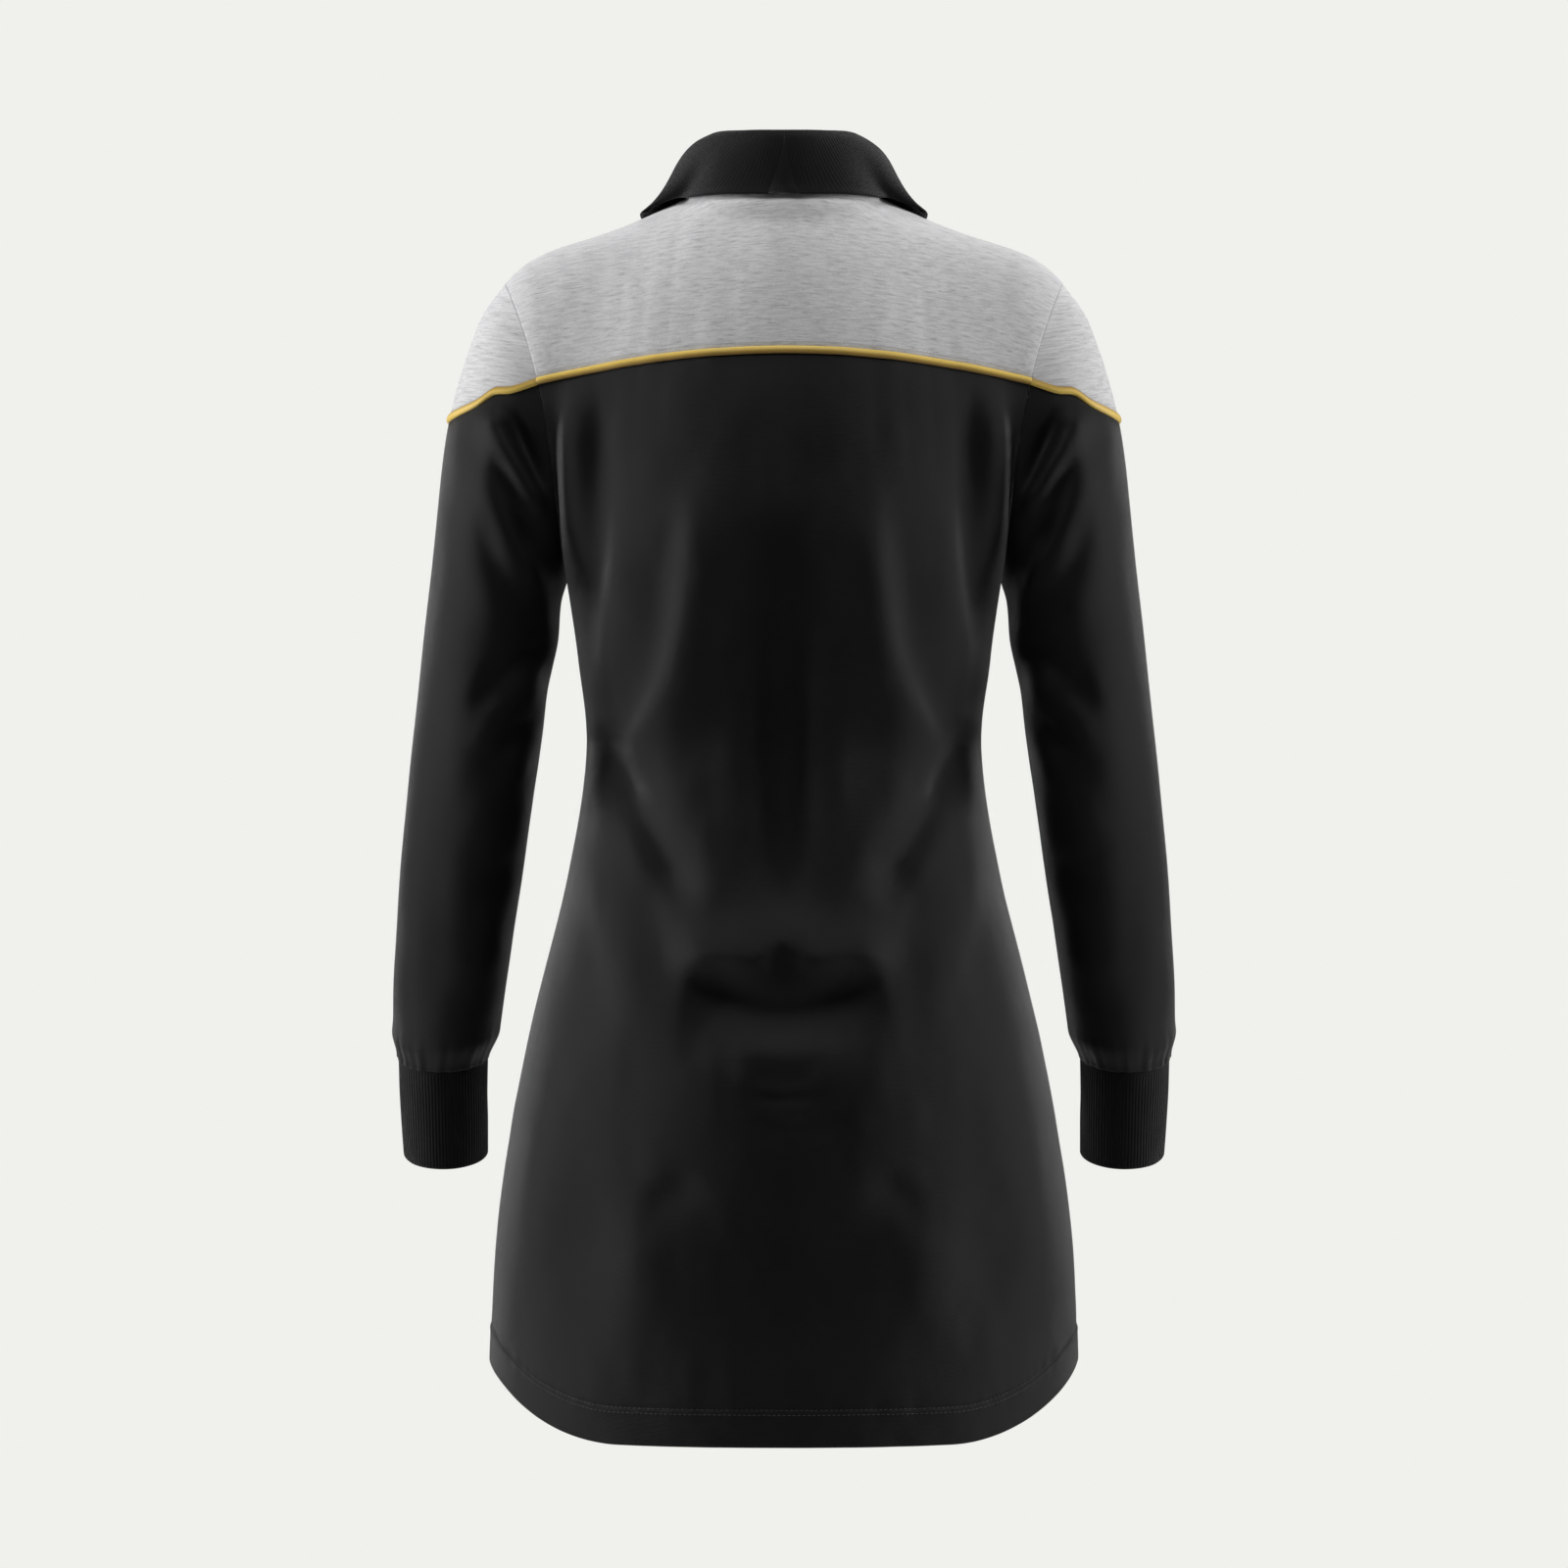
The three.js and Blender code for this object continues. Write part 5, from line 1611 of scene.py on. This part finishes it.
def row_of(sheet, row, above):
    return sheet.grid[row] + sheet.normals[row] * above, sheet.normals[row]


extra = {key: [] for key in list(sheets) + list(panels)}

for word, panel in panels.items():
    for label, row in (("outer", HEM_LINE), ("inner", HEM_LINE - 4)):
        line, normals = row_of(panel, row, 0.05)
        line, normals = line[1:-1], normals[1:-1]
        made = sewn(f"{word}_hem_stitches_{label}", line, normals, BLACK_THREAD, DRESS, radius=0.22)
        extra[word].append(made)

for key in yoke_columns:
    line, normals = row_of(sheets[f"{key}_yoke"], 1, 0.02)
    name = f"{key}_yoke_topstitch"
    extra[f"{key}_yoke"].append(
        sewn(name, line, normals, GREY_THREAD, DRESS, slot="grey_jersey", pitch=2.6, radius=0.17)
    )

for side in ("left", "right"):
    line, normals = row_of(sheets[f"{side}_cap"], 47, 0.02)
    line, normals = line[2:-2], normals[2:-2]
    name = f"{side}_cap_topstitch"
    made = sewn(name, line, normals, GREY_THREAD, side=side, slot="grey_jersey", pitch=2.6, radius=0.17)
    extra[f"{side}_cap"].append(made)


def placket_stitching():
    z = np.linspace(PLACKET["bottomZ"] + 2.6, NECK["frontZ"] - 3, 90)
    x = PLACKET["width"] / 2 - PLACKET_SEAM
    level = np.linspace(-x, x, 24)
    box_top = PLACKET["bottomZ"] + 13
    lines = {
        "left": (x + 0 * z, z),
        "right": (-x + 0 * z, z),
        "bottom": (level, PLACKET["bottomZ"] + 2.6 + 0 * level),
        "box": (level, box_top + 0 * level),
    }
    made = []
    for word, (across, up) in lines.items():
        line, normals = front_surface(across, up, PLACKET["proud"] - 0.1)
        name = f"placket_stitches_{word}"
        made.append(sewn(name, line, normals, BLACK_THREAD, DRESS, pitch=2.8, radius=0.2))
    return made


extra["placket_top"] += placket_stitching() + button_parts
for key, rows_used in (("neck_tape", (1, -2)), ("size_label", (-2,))):
    for row in rows_used:
        line, normals = sheets[key].grid[row], -sheets[key].normals[row]
        line = line + normals * (0.85 if key == "neck_tape" else 0.55)
        name = f"{key}_stitches_{'low' if row > 0 else 'high'}"
        made = sewn(name, line, normals, WHITE_THREAD, DRESS, slot="tape", pitch=2.6, radius=0.16)
        extra[key].append(made)

# ------------------------------------------------------------------ bodies, CAD nodes and cloth

# Each sheet's CAD node, its slot, the body that it rides on and how it is held
roles = {
    "back_yoke": ("back_yoke", "grey_jersey", DRESS, "hung"),
    "front_left_yoke": ("front_yoke_left", "grey_jersey", DRESS, "hung"),
    "front_right_yoke": ("front_yoke_right", "grey_jersey", DRESS, "hung"),
    "collar": ("collar", "black_rib", DRESS, "folded"),
    "neck_tape": ("neck_tape", "tape", DRESS, "stretched"),
    "size_label": ("size_label", "tape", DRESS, "hung"),
    "care_label": ("care_label", "tape", "care_label", "hung"),
    "placket_top": ("placket_top", "black_jersey", DRESS, "stretched"),
    "placket_under": ("placket_under", "black_jersey", DRESS, "stretched"),
}


def declare(node):
    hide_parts(node)


def trim(sheet, node):
    """Hides the CAD part of a tape too narrow to be a sheet, and gives back the tape's object."""
    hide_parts(node)
    return sheet.object


for key, node in (
    ("back", "back_yoke_piping"),
    ("front_left", "front_yoke_piping_left"),
    ("front_right", "front_yoke_piping_right"),
):
    tape = trim(sheets[f"{key}_piping"], node)
    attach(tape, DRESS)
    extra[f"{key}_yoke"].append(tape)
for side in ("left", "right"):
    tape = trim(sheets[f"{side}_tape"], f"{side}_sleeve_piping")
    on_arm(tape)
    extra[f"{side}_cap"].append(tape)
for key, (node, slot, body, held) in roles.items():
    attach(sheets[key].object, body)
    declare(node)
for word, panel in panels.items():
    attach(panel.object, DRESS)
    declare(f"{word}_body_panel")
for side in ("left", "right"):
    for key, node, slot in (
        ("cap", "sleeve_cap", "grey_jersey"),
        ("upper", "sleeve", "black_jersey"),
    ):
        on_arm(sheets[f"{side}_{key}"].object)
        declare(f"{side}_{node}")
    on_arm(sheets[f"{side}_lower"].object, lower=True)
    declare(f"{side}_forearm")
    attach(sheets[f"{side}_cuff"].object, f"{side}_lower_arm")
    declare(f"{side}_cuff")

# ------------------------------------------------------------------ stage, light and camera

CAMERA_AWAY = 3.5
CAMERA_HEIGHT = -0.42
VIEW_HALF = 0.56  # metres seen on each side of the middle, at the dress
FLOOR = -1.3
FLOOR_REACH = 1.7
PAPER = (0.872, 0.878, 0.846)
FILL = 0.045  # strength of the light from all round


def paper_floor():
    """A round of pale paper under the dress."""
    turns = np.linspace(0, 2 * PI, 96, endpoint=False)
    reaches = np.linspace(0.1, FLOOR_REACH, 12)
    points = [(r * math.cos(t), r * math.sin(t), FLOOR) for r in reaches for t in turns]
    rings = np.arange(len(points)).reshape(len(reaches), len(turns))
    faces = [tuple(int(i) for i in rings[0][::-1])]
    for inner, outer in zip(rings, rings[1:]):
        faces += strip_faces(outer, inner, True)
    graph = Graph("pale_paper")
    where = graph.node("ShaderNodeTexCoord").outputs["Object"]
    grain = graph.speckle(where, 90.0, 3.0, 0.6)
    material = graph.finish(
        Base_Color=graph.ramp(grain, [(0.3, (0.84, 0.845, 0.815)), (0.7, (0.86, 0.865, 0.835))]),
        Roughness=0.95,
        Specular_IOR_Level=0.1,
    )
    make_object("paper_floor", np.array(points), faces, material, metres=True)


def area_light(name, place, aim, size, power):
    data = bpy.data.lights.new(name, "AREA")
    data.shape = "RECTANGLE"
    data.size, data.size_y = size
    data.energy = power
    made = bpy.data.objects.new(name, data)
    made.location = place
    way = Vector(aim) - Vector(place)
    made.rotation_euler = way.to_track_quat("-Z", "Y").to_euler()
    made.visible_camera = False
    bpy.context.scene.collection.objects.link(made)


paper_floor()
middle = (0, 0, CAMERA_HEIGHT)
area_light("softbox_above", (0.1, 0.9, 1.9), (0, 0, -0.2), (1.2, 0.8), 35)
area_light("softbox_left", (2.3, 0.0, -0.1), middle, (0.6, 2.4), 64)
area_light("softbox_right", (-2.3, 0.0, -0.1), middle, (0.6, 2.4), 50)
area_light("softbox_front", (-0.5, -1.6, 1.7), (0, 0, -0.3), (1.2, 0.8), 26)


def studio_world():
    """Dim light from all round, in front of a background of plain pale paper."""
    world = bpy.data.worlds.new("studio")
    bpy.context.scene.world = world
    world.use_nodes = True
    nodes = world.node_tree.nodes
    links = world.node_tree.links
    fill = nodes["Background"]
    fill.inputs["Color"].default_value = (1.0, 1.0, 0.99, 1)
    fill.inputs["Strength"].default_value = FILL
    paper = nodes.new("ShaderNodeBackground")
    paper.inputs["Color"].default_value = (*PAPER, 1)
    seen = nodes.new("ShaderNodeLightPath")
    choice = nodes.new("ShaderNodeMixShader")
    links.new(seen.outputs["Is Camera Ray"], choice.inputs["Fac"])
    links.new(fill.outputs[0], choice.inputs[1])
    links.new(paper.outputs[0], choice.inputs[2])
    links.new(choice.outputs[0], nodes["World Output"].inputs["Surface"])


studio_world()
scene = bpy.context.scene
scene.view_settings.view_transform = "Standard"

data = bpy.data.cameras.new("camera")
data.angle = 2 * math.atan(VIEW_HALF / CAMERA_AWAY)
camera = bpy.data.objects.new("camera", data)
camera.location = (0, CAMERA_AWAY, CAMERA_HEIGHT)
camera.rotation_euler = (PI / 2, 0, PI)
scene.collection.objects.link(camera)
scene.camera = camera
